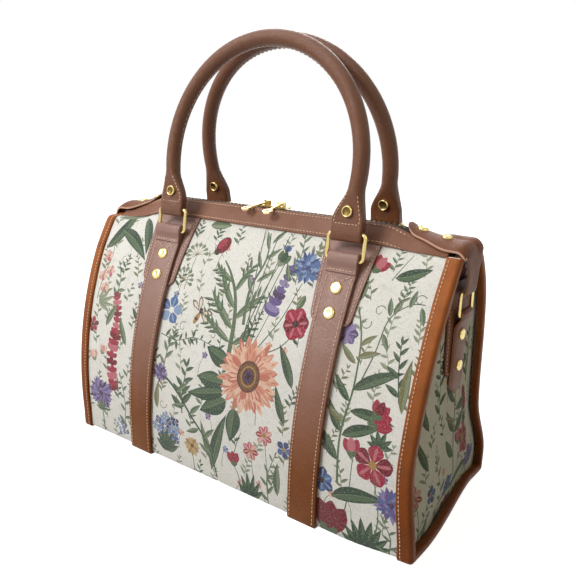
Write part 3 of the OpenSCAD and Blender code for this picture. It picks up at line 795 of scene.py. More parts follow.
def hood_path():
    """Points down a hood with the direction out of it and its half width."""
    base = hood_base()
    start, face = END - HOOD_L, END + 0.3
    path = []
    for x in [0.15, 0.6, 1.4, 2.6, 4.2, 6.2, 8.6, 12.0] + span(15, HOOD_L - HOOD_R - 0.3, 10):
        if x < HOOD_TIP:
            half = math.sqrt(HOOD_TIP ** 2 - (HOOD_TIP - x) ** 2)
        else:
            half = mix(HOOD_TIP, HOOD_HALF, smooth((x - HOOD_TIP) / (HOOD_L - BINDING_W - HOOD_TIP)))
        path.append((Vector((start + x, 0, base + hood_lift(x))), Z, half))
    fold = Vector((face - HOOD_R, 0, base - HOOD_R))
    path += [(fold + out * HOOD_R, out, HOOD_HALF) for out in map(polar, span(90, 0, 8)[1:])]
    bend = HOOD_BAR_Z + 3 * SIDE_LOOP_R
    for z in span(fold.z, bend, 7)[1:]:
        half = mix(HOOD_HALF, ANCHOR_W / 2, smooth((fold.z - z) / (fold.z - bend)))
        path.append((Vector((face, 0, z)), X, half))
    bar = Vector((SIDE_BAR_X, 0, HOOD_BAR_Z))
    for t in span(0, 1, 4)[1:]:
        path.append((Vector((mix(face, bar.x + SIDE_FOLD, t), 0, mix(bend, bar.z, t))), X, ANCHOR_W / 2))
    path += [(bar + out * SIDE_FOLD, out, ANCHOR_W / 2) for out in map(polar, (-30, -60, -90, -120))]
    return path


def anchor_path():
    """Points down a side anchor with the direction out of it, its half width and its thickness."""
    full = ANCHOR_W / 2
    bar = Vector((SIDE_BAR_X, 0, ANCHOR_BAR_Z))
    path = [(bar + out * 1.55, out, full, 1.7) for out in map(polar, (150, 120, 90, 60, 30))]
    for down in (2.0, 5.0, 9.0):
        t = smooth(down / 9)
        place = Vector((mix(SIDE_BAR_X + SIDE_FOLD, ANCHOR_X, t), 0, ANCHOR_BAR_Z - down))
        path.append((place, X, full, mix(1.8, ANCHOR_T, t)))
    point = ANCHOR_L - full
    for down in span(14, point, 10) + span(point, ANCHOR_L - 0.2, 6)[1:]:
        half = full if down <= point else max(full * (1 - ((down - point) / full) ** 1.3), 0.3)
        path.append((Vector((ANCHOR_X, 0, ANCHOR_BAR_Z - down)), X, half, ANCHOR_T))
    return path


def edge_cut(count, wide=0):
    """Raw edge share for a ribbon's points: the two long cut sides."""
    raw, face = [1.0, 1.0, 0.0, 0.0], [0.0] * wide
    return (raw + face + raw[::-1] + raw + face + raw[::-1]) * count


def end_hardware(side):
    def flip(v):
        return Vector((side * v.x, v.y, v.z))

    def strip(node, rows, r=0.5, wide=0, cut=None):
        # The end pieces take the darker leather, which carries painted shade.
        dress(node + "_" + SIDE[side], "leather", ribbon(rows, r, wide), END_LEATHER_IN_PAINTED_SHADE, "leather", cut=cut)

    rows = [(flip(p), Y, flip(out), max(half, 0.3), 0.0, HOOD_T) for p, out, half in hood_path()]
    strip("hood", rows, 0.45, 11, edge_cut(len(rows), 11))
    middle = Vector((SIDE_BAR_X, 0, HOOD_BAR_Z - SIDE_PITCH / 2))
    shape = wire_ring(lambda u, w: flip(middle + Y * u + Z * w), SIDE_RING_W, SIDE_PITCH, SIDE_WIRE, 14)
    dress("side_ring_" + SIDE[side], "wire", shape, BRASS, "brass")
    rows = [(flip(p), Y, flip(out), half, 0.0, thick) for p, out, half, thick in anchor_path()]
    strip("side_anchor", rows, cut=edge_cut(len(rows)))
    top = Vector((PANEL_X + PLY, 0, HEIGHT - SIDE_PATCH_DROP))
    strip("side_patch", [(flip(top - Z * down), Y, flip(X), patch_half(down, SIDE_PATCH_L), 0.0, PATCH_T)
                         for down in patch_downs(SIDE_PATCH_L)])
    face = top + X * (PATCH_T + PATCH_SEAM_UP)
    points = [flip(face + Y * w - Z * d) for w, d in patch_seam(SIDE_PATCH_L)]
    sew("bag", points, [flip(X)] * len(points))


# Zip

def zip_parts(face):
    """Woven tape with a row of rounded teeth on its edge."""
    profile = ((1.5, 0.0), (7.6, 0.0), (9.2, 1.0), (12.0, 4.5),
               (11.4, 5.0), (8.8, 1.7), (7.4, 0.8), (1.5, 0.8))
    tape = [[Vector((x, face * y, TAPE_Z - down)) for y, down in profile]
            for x in span(0.4 - PANEL_X, PANEL_X - 0.4, 60)]
    dress("zip_stringer_" + FACE[face], "tape", loft(tape), TAPE, "zip_tape")
    teeth = []
    x = -TEETH_REACH + (0.0 if face == FRONT else TOOTH_PITCH / 2)
    while x <= TEETH_REACH:
        rings = []
        for y, size in ((0.75, 0.6), (1.1, 0.95), (2.4, 1.0), (3.0, 0.7)):
            middle = Vector((x + 1.0, face * y, TAPE_Z - 0.75))
            outline = rounded(1.0, -0.8, 0.8, 0.4, 2)
            rings.append([middle + X * (u * size) + Z * (w * size) for u, w in outline])
        teeth.append(loft(rings))
        x += TOOTH_PITCH
    piece("zip_teeth_" + FACE[face], join(teeth), DARK_BRASS_AND_HOLLOW_SHADE, "zip_tape")


def dress_cad(names, mat, bevel=0.0):
    for name in names:
        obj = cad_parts[name]
        obj.data.materials.clear()
        obj.data.materials.append(mat)
        if bevel:
            edge = obj.modifiers.new("edges", "BEVEL")
            edge.width = bevel * MM
            edge.segments = 2
            edge.limit_method = "ANGLE"
            edge.angle_limit = math.radians(40)


def lining():
    """The lining's own solid, settled with the bag."""
    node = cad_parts["lining"]
    verts = [node.matrix_world @ v.co / MM for v in node.data.vertices]
    dress("lining", "cloth", (verts, [tuple(poly.vertices) for poly in node.data.polygons]), LINING, "lining")


# Print on the tapestry: places on the cloth are complex numbers, mm across and mm down from the mouth

CREAM = "#f0eee8"
PINE, FERN, SAGE, OLIVE, MIST = "#3f5446", "#5b7156", "#87937a", "#7b7850", "#a8ad95"
WINE, RED, ROSE, PINK, BLUSH = "#7c2134", "#a8324a", "#c7727f", "#dba29c", "#edc8b8"
PEACH, CORAL, SHELL = "#dd9b83", "#cc7a68", "#eec2a8"
BARK, SOIL, OCHRE, SAND = "#6c463a", "#472f30", "#b18b52", "#cbab7b"
BLUE, SKY, NAVY, VIOLET, LILAC, PLUM = "#5571a8", "#8ca5ca", "#3b4b7f", "#6c5a93", "#9687b6", "#523f68"
DEEP, FRESH, DULL, PALE = (PINE, FERN), (FERN, SAGE), (OLIVE, SAGE), (SAGE, MIST)
PETAL_SWELL = 1.51966


def way(angle):
    """Direction on the cloth, in degrees clockwise from up; times 1j it points to its right."""
    a = math.radians(angle)
    return complex(math.sin(a), -math.cos(a))


class Print:
    """Flat shapes with their colours, in the order in which they cover each other."""

    def __init__(self, seed):
        self.shapes = []
        self.rng = random.Random(seed)

    def add(self, points, colour):
        self.shapes.append(([(p.real, p.imag) for p in points], colour))

    def leaf(self, at, angle, length, width, greens=DEEP, bend=0.0, vein=None):
        d = way(angle)
        r = d * 1j
        spine, left, right = [], [], []
        for t in span(0, 1, 8):
            c = at + d * length * t + r * (bend * length * t * t)
            half = width / 2 * math.sin(math.pi * t ** 0.8) ** 0.9 if 0 < t < 1 else 0.0
            spine.append(c)
            left.append(c - r * half)
            right.append(c + r * half * 0.92)
        dark, light = greens
        self.add(left + right[-2:0:-1], dark)
        if light:
            self.add(spine[:-1] + [a * 0.25 + b * 0.75 for a, b in zip(spine, right)][-2:0:-1], light)
        if vein:
            self.stem(spine[:-1], 0.45, vein)

    def stem(self, points, width, colour=FERN, tip=None):
        tip = width * 0.6 if tip is None else tip
        line = curve(points)
        left, right = [], []
        for i, p in enumerate(line):
            step = line[min(i + 1, len(line) - 1)] - line[max(i - 1, 0)]
            side = step * 1j / (abs(step) or 1.0) * (mix(width, tip, i / (len(line) - 1)) / 2)
            left.append(p + side)
            right.append(p - side)
        self.add(left + right[::-1], colour)
        return line

    def spray(self, points, count, length, width, greens=DEEP, lean=48, stalk=1.0):
        """A stem with leaves on both sides."""
        tip = 0.45
        line = self.stem(points, stalk, greens[0])
        for i in range(count):
            t = mix(0.12, 0.97, i / max(count - 1, 1))
            at, angle = along(line, t)
            hand = 1 if i % 2 else -1
            size = mix(1.0, tip, t) * self.rng.uniform(0.85, 1.15)
            turn = hand * lean * self.rng.uniform(0.8, 1.2)
            self.leaf(at, angle + turn, length * size, width * size, greens, 0.12 * hand)
        at, angle = along(line, 1.0)
        self.leaf(at, angle, length * tip, width * tip, greens)

    def petal(self, at, angle, near, far, width, colour, streak=None):
        d = way(angle)
        r = d * 1j
        left, right = [], []
        for t in span(0, 1, 6):
            half = width * 0.08
            if t < 1:
                half = width / 2 * math.sin(math.pi * (0.06 + 0.94 * t) ** PETAL_SWELL) ** 0.7
            side = r * max(half, width * 0.06)
            c = at + d * mix(near, far, t)
            left.append(c - side)
            right.append(c + side)
        self.add(left + right[::-1], colour)
        if streak:
            mark = ((0.15, -0.07), (0.75, -0.1), (0.9, 0.02), (0.7, 0.12), (0.15, 0.07))
            self.add([at + d * mix(near, far, t) + r * u * width for t, u in mark], streak)

    def disc(self, at, wide, tall, colour, angle=0.0, count=14):
        d = way(angle)
        self.add([at + d * 1j * wide * math.cos(a) + d * tall * math.sin(a) for a in turns(count)], colour)

    def flower(self, at, size, petals, colours, heart, start=0.0, width=None, streak=None, core=0.22):
        width = width or 1.2 * size * math.pi / petals
        for i in range(petals):
            reach = size * self.rng.uniform(0.9, 1.08)
            colour = colours[i % len(colours)]
            self.petal(at, start + 360 * i / petals, size * core * 0.6, reach, width, colour, streak)
        self.disc(at, size * core, size * core, heart)

    def burst(self, at, size, count, colours, heart, squash=1.0):
        """A thistle or cornflower of narrow florets."""
        for layer, reach in enumerate((1.0, 0.72, 0.45)):
            florets = count - 4 * layer
            for i in range(florets):
                d = way(360 * i / florets + 9 * layer + self.rng.uniform(-5, 5))
                far = size * reach * self.rng.uniform(0.82, 1.1)
                tip = at + complex(d.real * far, d.imag * far * squash)
                side = d * 1j * size * 0.13
                wide = mix(at, tip, 0.7)
                floret = [at + side * 0.5, wide + side, tip, wide - side, at - side * 0.5]
                self.add(floret, colours[(i + layer) % len(colours)])
        self.disc(at, size * 0.16, size * 0.16 * squash, heart)

    def spike(self, points, count, size, colours, stalk=FERN):
        """Small bells up a stem, as on lavender."""
        line = self.stem(points, 0.9, stalk)
        for i in range(count):
            t = i / (count - 1)
            at, angle = along(line, t)
            scale = size * mix(1.0, 0.55, t) * self.rng.uniform(0.85, 1.15)
            for turn in (-52, 52, 0):
                lean = angle + turn + self.rng.uniform(-10, 10)
                self.petal(at, lean, 0.0, scale, scale * 0.62, colours[(i + turn) % len(colours)])

    def bud(self, at, angle, size, colours, cup=FERN):
        for turn, colour in ((-24, colours[0]), (24, colours[0]), (0, colours[-1])):
            self.petal(at, angle + turn, 0.0, size, size * 0.52, colour)
        for turn in (-40, 40):
            self.petal(at, angle + turn, -size * 0.1, size * 0.4, size * 0.26, cup)

    def curl(self, at, angle, size, colour=FERN, hand=1):
        points = [at + way(angle + hand * 330 * t) * size * (0.5 - 0.4 * t) for t in span(0, 1, 11)]
        self.stem(points, 0.6, colour)

    def cluster(self, at, size, count, colours, heart):
        for i in range(count):
            a = i * 2.4
            reach = size * math.sqrt((i + 0.5) / count)
            place = at + complex(reach * math.cos(a), reach * math.sin(a) * 0.85)
            start = self.rng.uniform(0, 90)
            self.flower(place, size * 0.27, 4, [colours[i % len(colours)]], heart, start, core=0.25)

    def fan(self, at, angle, spread, count, length, width, greens):
        for turn in span(-spread, spread, count - 1):
            self.leaf(at, angle + turn, length * (1 - 0.25 * abs(turn) / spread), width, greens)


def curve(points):
    """Smooth line through places."""
    if len(points) < 3:
        return [mix(points[0], points[1], t) for t in span(0, 1, 4)]
    line = []
    last = len(points) - 1
    for i in range(last):
        a, b, c, d = points[max(i - 1, 0)], points[i], points[i + 1], points[min(i + 2, last)]
        for t in span(0, 1, 6)[:-1]:
            bow = (2 * a - 5 * b + 4 * c - d) * t * t + (3 * b - a - 3 * c + d) * t ** 3
            line.append(0.5 * (2 * b + (c - a) * t + bow))
    return line + points[-1:]


def along(line, t):
    """Place on a line and the direction there."""
    place = t * (len(line) - 1)
    i = min(int(place), len(line) - 2)
    step = line[i + 1] - line[i]
    return mix(line[i], line[i + 1], place - i), math.degrees(math.atan2(step.real, -step.imag))


def beetle(art, at, angle, size):
    ahead = way(angle) * size
    for t in (-0.3, 0.1, 0.5):
        for hand in (-1, 1):
            art.stem([at + ahead * t, at + ahead * (t + 0.1 + 0.95j * hand)], 0.5, SOIL)
    for place, wide, tall, colour in ((0, 0.62, 0.85, WINE), (0.2j, 0.3, 0.6, RED), (0.85, 0.32, 0.24, SOIL)):
        art.disc(at + ahead * place, size * wide, size * tall, colour, angle)


def bee(art, at, angle, size):
    for turn in (-75, -35, 60, 100):
        art.petal(at, angle + turn, size * 0.15, size, size * 0.36, BARK)
        art.petal(at, angle + turn, size * 0.25, size * 0.88, size * 0.24, "#e8e0cf")
    for t, wide, tall, colour in ((-0.45, 0.17, 0.42, OCHRE),
                                  (-0.5, 0.15, 0.1, BARK),
                                  (0.1, 0.14, 0.2, SOIL)):
        art.disc(at + way(angle) * size * t, size * wide, size * tall, colour, angle)


def sunflower(art, at, size):
    for reach, count, colours, shift in ((1.0, 25, (PEACH, SHELL, CORAL), 0),
                                         (0.86, 23, (SHELL, PEACH, "#e5b096"), 7),
                                         (0.7, 19, (PEACH, CORAL, SHELL), 3)):
        for i in range(count):
            far = size * reach * art.rng.uniform(0.92, 1.06)
            angle = shift + 360 * i / count + art.rng.uniform(-4, 4)
            art.petal(at, angle, size * 0.25, far, size * 0.2, colours[i % 3], BLUSH if i % 2 else CORAL)
    for wide, colour in ((0.43, BARK), (0.37, "#7d5542"), (0.29, OCHRE),
                         (0.24, BARK), (0.16, PLUM), (0.09, SOIL)):
        art.disc(at, size * wide * 0.86, size * wide, colour, 12, 20)


def meadow(seed):
    """Spring and summer plants on a cream ground, laid out for a panel 306 mm wide and 215 mm tall."""
    art = Print(seed)
    for row, s in enumerate(span(34, 232, 9)):
        for x in span(-150, 150, 13):
            at = complex(x + (art.rng.uniform(-6, 6) + (11 if row % 2 else 0)), s)
            lean = art.rng.uniform(-7, 7)
            greens = art.rng.choice((FRESH, DULL, PALE, DEEP, PALE))
            tall = art.rng.uniform(14, 21)
            top = at + complex(lean, -tall)
            if art.rng.random() < 0.75:
                count = art.rng.randrange(5, 9)
                art.spray([at, at + complex(lean * 0.3, -tall / 2), top], count, 7.5, 2.6, greens, 46, 0.6)
            else:
                art.stem([at, at + complex(lean * 0.2, -tall * 0.6), top], 0.6, greens[0])
                colours = art.rng.choice(((PINK, BLUSH), (SKY, BLUE), (SHELL, PEACH), (LILAC, VIOLET)))
                art.flower(top, 3.2, 5, colours, OCHRE)
    # Left of the left strap
    art.leaf(-152+58j, 42, 48, 11, DEEP, -0.25, SAGE)
    art.leaf(-140+38j, 105, 40, 13, DEEP, 0.35, SAGE)
    art.leaf(-150+26j, 80, 38, 9, FRESH, -0.15)
    art.leaf(-118+22j, 150, 36, 9, DEEP, 0.2)
    art.stem([-150+104j, -147+84j, -142+62j, -145+50j], 0.9, OLIVE)
    for at in (-146+64j, -140+77j, -148+83j, -143+93j):
        art.flower(at, 5.2, 5, (PINK, BLUSH, ROSE), OCHRE, 20)
    art.spray([-128+100j, -126+84j, -131+70j], 8, 9, 3.6, FRESH)
    art.curl(-127+63j, 40, 12, FERN)
    art.fan(-146+108j, 60, 50, 5, 20, 4.0, PALE)
    art.spike([-121+182j, -124+150j, -121+122j, -126+98j], 17, 9.5, (WINE, RED, ROSE, RED), OLIVE)
    art.leaf(-134+126j, 20, 24, 6, FRESH, 0.1)
    art.leaf(-108+138j, -30, 26, 6, FRESH, 0.1)
    art.flower(-151+128j, 7.5, 6, (RED, WINE), SOIL, 10)
    art.bud(-146+160j, -15, 10, (PINK, BLUSH), SAGE)
    art.bud(-137+152j, 20, 9, (BLUSH, PINK), SAGE)
    art.spray([-108+214j, -106+190j, -112+168j], 8, 12, 4.2, FRESH)
    art.stem([-136+222j, -138+200j], 1.6, FERN)
    art.burst(-138+189j, 16.5, 26, (VIOLET, LILAC, PLUM, LILAC), PLUM, 0.95)
    art.fan(-138+205j, 0, 70, 6, 12, 3.0, FRESH)
    art.cluster(-112+213j, 8, 9, (BLUE, SKY, NAVY), OCHRE)
    # Under and beside the left strap
    art.spray([-100+120j, -92+90j, -98+60j], 10, 16, 5, DEEP)
    art.spray([-80+200j, -88+170j, -80+140j], 10, 15, 5, FRESH)
    # Middle, upper part
    art.leaf(-50+21j, 78, 22, 9, FRESH, 0.1)
    beetle(art, -29+36j, 215, 9.5)
    for at, first in ((-53+48j, -125), (-60+70j, -90)):
        art.stem([at + (-3+30j), at + (-1+10j), at], 0.8, OLIVE)
        for i in range(9):
            d = way(first + 25 * i)
            art.stem([at, at + complex(d.real * 9, d.imag * 8)], 0.5, OLIVE)
            art.disc(at + complex(d.real * 10, d.imag * 9), 1.9, 1.5, (OLIVE, SAGE, FERN)[i % 3])
            art.leaf(at + d * 6, first + 25 * i, 6, 2.0, (SAGE, None))
    art.flower(-64+97j, 12.5, 5, (BLUE, SKY), CREAM, 8, 9.0, SKY)
    bee(art, -33+93j, 25, 13)
    art.stem([4+122j, 3+95j, -2+74j, -12+58j, -22+48j], 4.6, FERN, 1.2)
    for at, angle, size, wide in ((3+100j, -52, 40, 7), (84j, -44, 34, 6), (2+92j, 40, 34, 6.5),
                                  (-4+72j, 22, 30, 5), (3+110j, -66, 34, 6), (4+112j, 52, 24, 5),
                                  (-8+64j, -66, 24, 5)):
        art.leaf(at, angle, size, wide, FRESH, 0.08)
        for share in (0.45, 0.62, 0.78):
            for turn, greens in ((-38, (PINE, SAGE)), (38, (FERN, None))):
                art.leaf(at + way(angle) * size * share, angle + turn, size * 0.3, 2.6, greens)
    art.stem([12+94j, 10+66j, 16+42j, 12+20j], 2.8, FERN, 1.0)
    for s, angle in ((80, 44), (70, -36), (60, 46), (50, -34), (42, 40), (34, -30), (28, 32)):
        art.leaf(complex(11 + (94 - s) / 12, s), angle, 17, 3.6, FRESH, 0.1)
    for x, tip in ((14, 20+20j), (18, 30+20j), (20, 6+18j), (22, 34+42j)):
        art.stem([complex(x, 110), complex(mix(x, tip.real, 0.4), 76), tip], 0.9, PINE, 0.7)
    art.spike([33+82j, 37+64j, 41+46j], 9, 8.5, (VIOLET, LILAC, VIOLET, PLUM), FERN)
    art.stem([22+112j, 28+98j, 33+82j], 0.9, FERN)
    art.bud(29+44j, 20, 12, (FERN, PINE), SAGE)
    art.bud(31+33j, 25, 6, (BLUE, NAVY), PINE)
    art.stem([14+104j, 22+70j, 29+44j], 1.0, PINE)
    art.spray([40+58j, 46+38j, 44+20j], 9, 14, 4, FRESH, 40)
    art.spray([48+44j, 58+30j, 64+20j], 8, 12, 3.4, DULL, 40)
    art.burst(55+42j, 13.5, 20, (BLUE, SKY, NAVY, BLUE), NAVY)
    art.stem([27+112j, 44+84j, 54+54j], 0.9, PINE)
    art.leaf(60+62j, 200, 14, 6, FRESH)
    art.stem([30+114j, 48+104j, 58+92j], 1.0, PINE)
    art.flower(58+84j, 12, 6, (RED, WINE, RED), SOIL, 12, 11, ROSE)
    art.leaf(66+130j, -24, 34, 8, DEEP, -0.12)
    art.leaf(64+158j, -30, 30, 7, DEEP, 0.1)
    # Middle, lower part
    art.spray([-70+118j, -52+120j, -34+114j, -14+116j], 14, 10, 3.4, DEEP, 60, 0.8)
    art.curl(-16+108j, 300, 9, PINE)
    art.curl(-48+108j, 30, 9, PINE, -1)
    for at, angle, size, wide in ((6+126j, -78, 26, 15), (4+142j, -98, 28, 17), (8+154j, -128, 30, 16),
                                  (16+158j, 176, 28, 15), (6+148j, -112, 40, 12)):
        art.leaf(at, angle, size, wide, DEEP, 0.12, SAGE)
    art.leaf(-4+216j, 8, 52, 11, DEEP, 0.12, SAGE)
    art.leaf(214j, -30, 40, 7, FRESH, 0.1)
    sunflower(art, 26+131j, 29)
    art.spray([-37+178j, -38+158j, -36+138j], 9, 17, 6, DEEP, 42, 1.3)
    art.stem([-60+152j, -46+160j, -26+178j, -8+196j, 2+220j], 2.2, PINE, 1.4)
    for at, angle in ((-44+162j, 40), (-34+170j, -110), (-28+176j, 40), (-18+186j, -120), (-12+192j, 38),
                      (-4+204j, -70)):
        art.leaf(at, angle, 15, 4.6, FRESH, 0.1)
    art.spray([-62+146j, -60+128j, -56+116j], 7, 12, 4, FRESH, 36)
    art.burst(-65+150j, 9.5, 16, (VIOLET, LILAC, PLUM), PLUM)
    art.leaf(-66+182j, -12, 24, 6, DULL, 0.2)
    art.curl(-60+176j, 80, 10, OLIVE)
    art.cluster(-54+197j, 15, 20, (BLUE, SKY, NAVY, SKY), OCHRE)
    art.fan(-54+216j, 0, 62, 7, 20, 5, DEEP)
    art.flower(-25+203j, 8, 12, (SAND, OCHRE, SAND), BARK, 0, 3.6)
    art.stem([-22+226j, -25+208j], 1.0, FERN)
    for at, size, angle in ((47+171j, 8.5, 10), (35+187j, 7.5, -10)):
        art.flower(at, size, 7, (ROSE, PINK, RED), OCHRE, angle, 4.4, BLUSH)
        art.stem([at + (6+44j), at + (4+22j), at + (1+4j)], 0.8, FERN)
    art.bud(20+205j, -12, 12, (RED, WINE, RED), FERN)
    art.stem([27+228j, 25+214j, 20+205j], 1.0, FERN)
    art.stem([18+200j, 22+184j, 25+176j], 0.8, PINE)
    art.spray([54+224j, 52+204j, 58+184j], 8, 11, 3.4, FRESH, 44)
    art.fan(36+226j, 0, 50, 6, 22, 5, DEEP)
    art.flower(66+176j, 7, 5, (NAVY, BLUE), OCHRE, 20)
    art.leaf(62+214j, -8, 26, 7, FRESH, 0.1)
    # Under and beside the right strap
    art.spray([84+130j, 88+100j, 82+70j], 10, 15, 5, DEEP)
    art.spray([80+220j, 86+190j, 80+160j], 10, 15, 5, FRESH)
    # Right of the right strap
    art.bud(107+36j, 30, 13, (RED, WINE, ROSE), FERN)
    art.leaf(103+58j, 10, 16, 5, FRESH)
    art.stem([122+40j, 128+28j, 132+20j], 0.9, SAGE)
    art.leaf(124+38j, 76, 26, 9, DEEP, -0.15, SAGE)
    art.stem([118+112j, 124+90j, 128+66j, 140+54j, 150+52j], 1.0, PINE)
    for at, hand in ((133+46j, 1), (146+50j, -1), (151+60j, 1), (120+62j, -1), (112+72j, 1)):
        art.curl(at, 60, 9, PINE, hand)
    for at, angle in ((128+64j, -12), (130+62j, 22), (126+76j, 150), (140+56j, 10), (148+54j, 160)):
        art.leaf(at, angle, 13, 4.2, FRESH)
    art.flower(100+81j, 9, 8, (VIOLET, LILAC, PLUM), LILAC, 0, 6, LILAC)
    art.stem([112+184j, 110+150j, 114+116j, 112+84j, 104+62j], 1.8, FERN, 1.0)
    for at, angle, size, wide in ((113+118j, 52, 40, 9), (112+100j, -58, 18, 5), (112+96j, 60, 18, 5),
                                  (113+126j, -50, 22, 6), (114+132j, 84, 34, 8), (110+148j, -40, 24, 7),
                                  (111+150j, 58, 30, 9), (112+88j, 40, 15, 4), (110+168j, -46, 24, 8),
                                  (111+140j, -70, 18, 5)):
        art.leaf(at, angle, size, wide, DEEP if size > 20 else DULL, 0.14)
    art.spray([148+118j, 143+96j, 141+80j], 8, 13, 4.4, DEEP, 34)
    art.leaf(151+124j, -6, 36, 7, DULL, 0.1)
    art.bud(130+136j, 64, 17, (RED, WINE, RED), FERN)
    art.bud(134+132j, 18, 13, (RED, ROSE, WINE), FERN)
    art.fan(140+150j, 0, 80, 6, 13, 4, DEEP)
    art.flower(137+163j, 14, 5, (RED, WINE, RED), OCHRE, 8, 12, ROSE)
    art.bud(121+162j, -10, 13, (RED, WINE, ROSE), FERN)
    art.stem([116+220j, 121+190j, 122+164j], 1.0, FERN)
    art.stem([138+224j, 142+196j, 138+168j], 1.0, FERN)
    art.leaf(108+196j, 62, 40, 12, DEEP, 0.22, SAGE)
    art.flower(100+187j, 9.5, 6, (NAVY, BLUE), SOIL, 0, 7, SKY)
    art.burst(151+186j, 13, 20, (VIOLET, BLUE, LILAC, VIOLET), PLUM)
    art.bud(107+226j, 4, 26, (WINE, RED, WINE), FERN)
    art.fan(134+228j, 0, 60, 8, 26, 6, DEEP)
    art.spray([148+228j, 150+212j, 146+200j], 6, 10, 3.2, FRESH)
    return art


def hedge(art, first, last):
    """Sparse sprigs for the cloth under the bag."""
    step = 21
    s = first
    row = 0
    while s < last:
        x = -160 + (step / 2 if row % 2 else 0)
        while x < 160:
            at = complex(x, s)
            kind = art.rng.randrange(4)
            if kind == 0:
                art.flower(at, 6, 5, (ROSE, PINK), OCHRE, art.rng.uniform(0, 72))
            elif kind == 1:
                art.spray([at + (-4+9j), at, at + (3-8j)], 6, 8, 3.0, FRESH)
            elif kind == 2:
                art.fan(at + 6j, art.rng.uniform(-20, 20), 60, 5, 12, 3.4, DEEP)
            else:
                art.burst(at, 6, 12, (BLUE, LILAC), NAVY)
            x += step
        s += step * 0.8
        row += 1


# Printed sheets

def cut_print(shapes, outline, grid):
    """Flat triangles of a sheet with the print's shapes cut into it: points, faces and their colours."""
    points, edges, loops = [], [], []

    def loop(shape, colour):
        clean = []
        for p in shape:
            if not clean or math.dist(p, clean[-1]) > POINT_GAP:
                clean.append(p)
        if len(clean) < 3:
            return
        first = len(points)
        edges.extend((first + i, first + (i + 1) % len(clean)) for i in range(len(clean)))
        points.extend(clean)
        loops.append((np.array(clean), rgb(colour)))

    loop(outline, CREAM)
    left, top = [min(along) + EDGE_GAP for along in zip(*outline)]
    right, bottom = [max(along) - EDGE_GAP for along in zip(*outline)]
    for shape, colour in shapes:
        if any(left <= x <= right and top <= y <= bottom for x, y in shape):
            loop([(min(max(x, left), right), min(max(y, top), bottom)) for x, y in shape], colour)
    points.extend(grid)
    verts, _, faces, _, _, _ = delaunay_2d_cdt([Vector(p) for p in points], edges, [], 0, 0.01, False)
    verts = np.array([tuple(v) for v in verts])
    faces = np.array(faces)
    centres = verts[faces].mean(axis=1)
    colours = np.tile(np.array(rgb(CREAM)), (len(faces), 1))
    for corner, colour in loops[1:]:
        boxed = (centres > corner.min(axis=0)) & (centres < corner.max(axis=0))
        near = np.where(boxed.all(axis=1))[0]
        x, y = centres[near].T[:, :, None]
        (ax, ay), (bx, by) = corner.T, np.roll(corner, -1, axis=0).T
        turn = (bx - ax) * (y - ay) - (x - ax) * (by - ay)
        rising = (ay <= y) & (by > y) & (turn > 0)
        falling = (ay > y) & (by <= y) & (turn < 0)
        colours[near[rising.sum(axis=1) != falling.sum(axis=1)]] = colour
    return verts, faces, colours


def printed_sheet(name, node, cut, place):
    """A piece from a cut print; place maps the cloth, in mm, to space."""
    verts, faces, colours = cut
    mesh = bpy.data.meshes.new(name)
    mesh.from_pydata([tuple(place(*v) * MM) for v in verts.tolist()], [], faces.tolist())
    mesh.materials.append(TAPESTRY)
    paint = mesh.color_attributes.new("print", "FLOAT_COLOR", "CORNER")
    paint.data.foreach_set("color", np.repeat(colours, 3, axis=0).ravel())
    uv = mesh.uv_layers.new(name="cloth")
    uv.data.foreach_set("uv", (verts[faces] * MM).ravel())
    mesh.polygons.foreach_set("use_smooth", [True] * len(mesh.polygons))
    bm = bmesh.new()
    bm.from_mesh(mesh)
    bmesh.ops.remove_doubles(bm, verts=bm.verts, dist=1e-6)
    bm.to_mesh(mesh)
    bm.free()
    mesh.update()
    obj = bpy.data.objects.new(name, mesh)
    settle(obj, "bag", [node])
    return obj


def face_out(obj, towards):
    """Turns the faces of a sheet so that they look the given way."""
    poly = max(obj.data.polygons, key=lambda p: p.area)
    if poly.normal.dot(towards(poly.center)) < 0:
        obj.data.flip_normals()


def tapestry_wrap():
    """One sheet from mouth to mouth; its back half is the front half turned round."""
    reach = END - BINDING_T - PLY
    art = Print(9)
    hedge(art, SIDE_END + 10, ROUND / 2)
    rows = steps_round(SHEET_DROP, 42, 2, 6, 11)
    columns = span(-reach, reach, 54)
    outline = [(x, SHEET_DROP) for x in columns] + [(reach, s) for s in rows[1:-1]]
    outline += [(x, ROUND / 2) for x in reversed(columns)] + [(-reach, s) for s in reversed(rows[1:-1])]
    grid = [(x, s) for s in rows[1:-1] for x in columns[1:-1]]
    verts, faces, colours = cut_print(art.shapes + meadow(5).shapes, outline, grid)
    back = np.array((0.0, ROUND)) - verts
    halves = ((verts, back), (faces, faces + len(verts)), (colours, colours))

    def place(x, s):
        lull = noise.noise(Vector((x * 0.017, s * 0.021, 2.0))) * WRAP_LULL
        clear = smooth((abs(abs(x) - STRAP_X) - 22) / 16) * smooth((END - BINDING_W - abs(x)) / 14)
        near = min(s, ROUND - s)
        clear *= smooth((near - BAND_W) / 14) * smooth((ARC + 4 - near) / 20)
        return slump(on_body(x, s, lull * clear))

    obj = printed_sheet("tapestry_wrap", "body_wrap", [np.concatenate(pair) for pair in halves], place)
    face_out(obj, lambda c: Vector((0, c.y, c.z - 0.08)))


def edge_at(z):
    """Half width of an end panel at a height."""
    if z >= BULGE:
        a = math.asin(min((z - BULGE) / (RADIUS - PANEL_IN), 1.0))
        return (RADIUS - PANEL_IN) * math.cos(a) - MIDDLE
    turn = FOLD - PANEL_IN
    drop = min(max(BASE + FOLD - z, 0.0), turn)
    return DEPTH / 2 - FOLD + math.sqrt(turn ** 2 - drop ** 2)


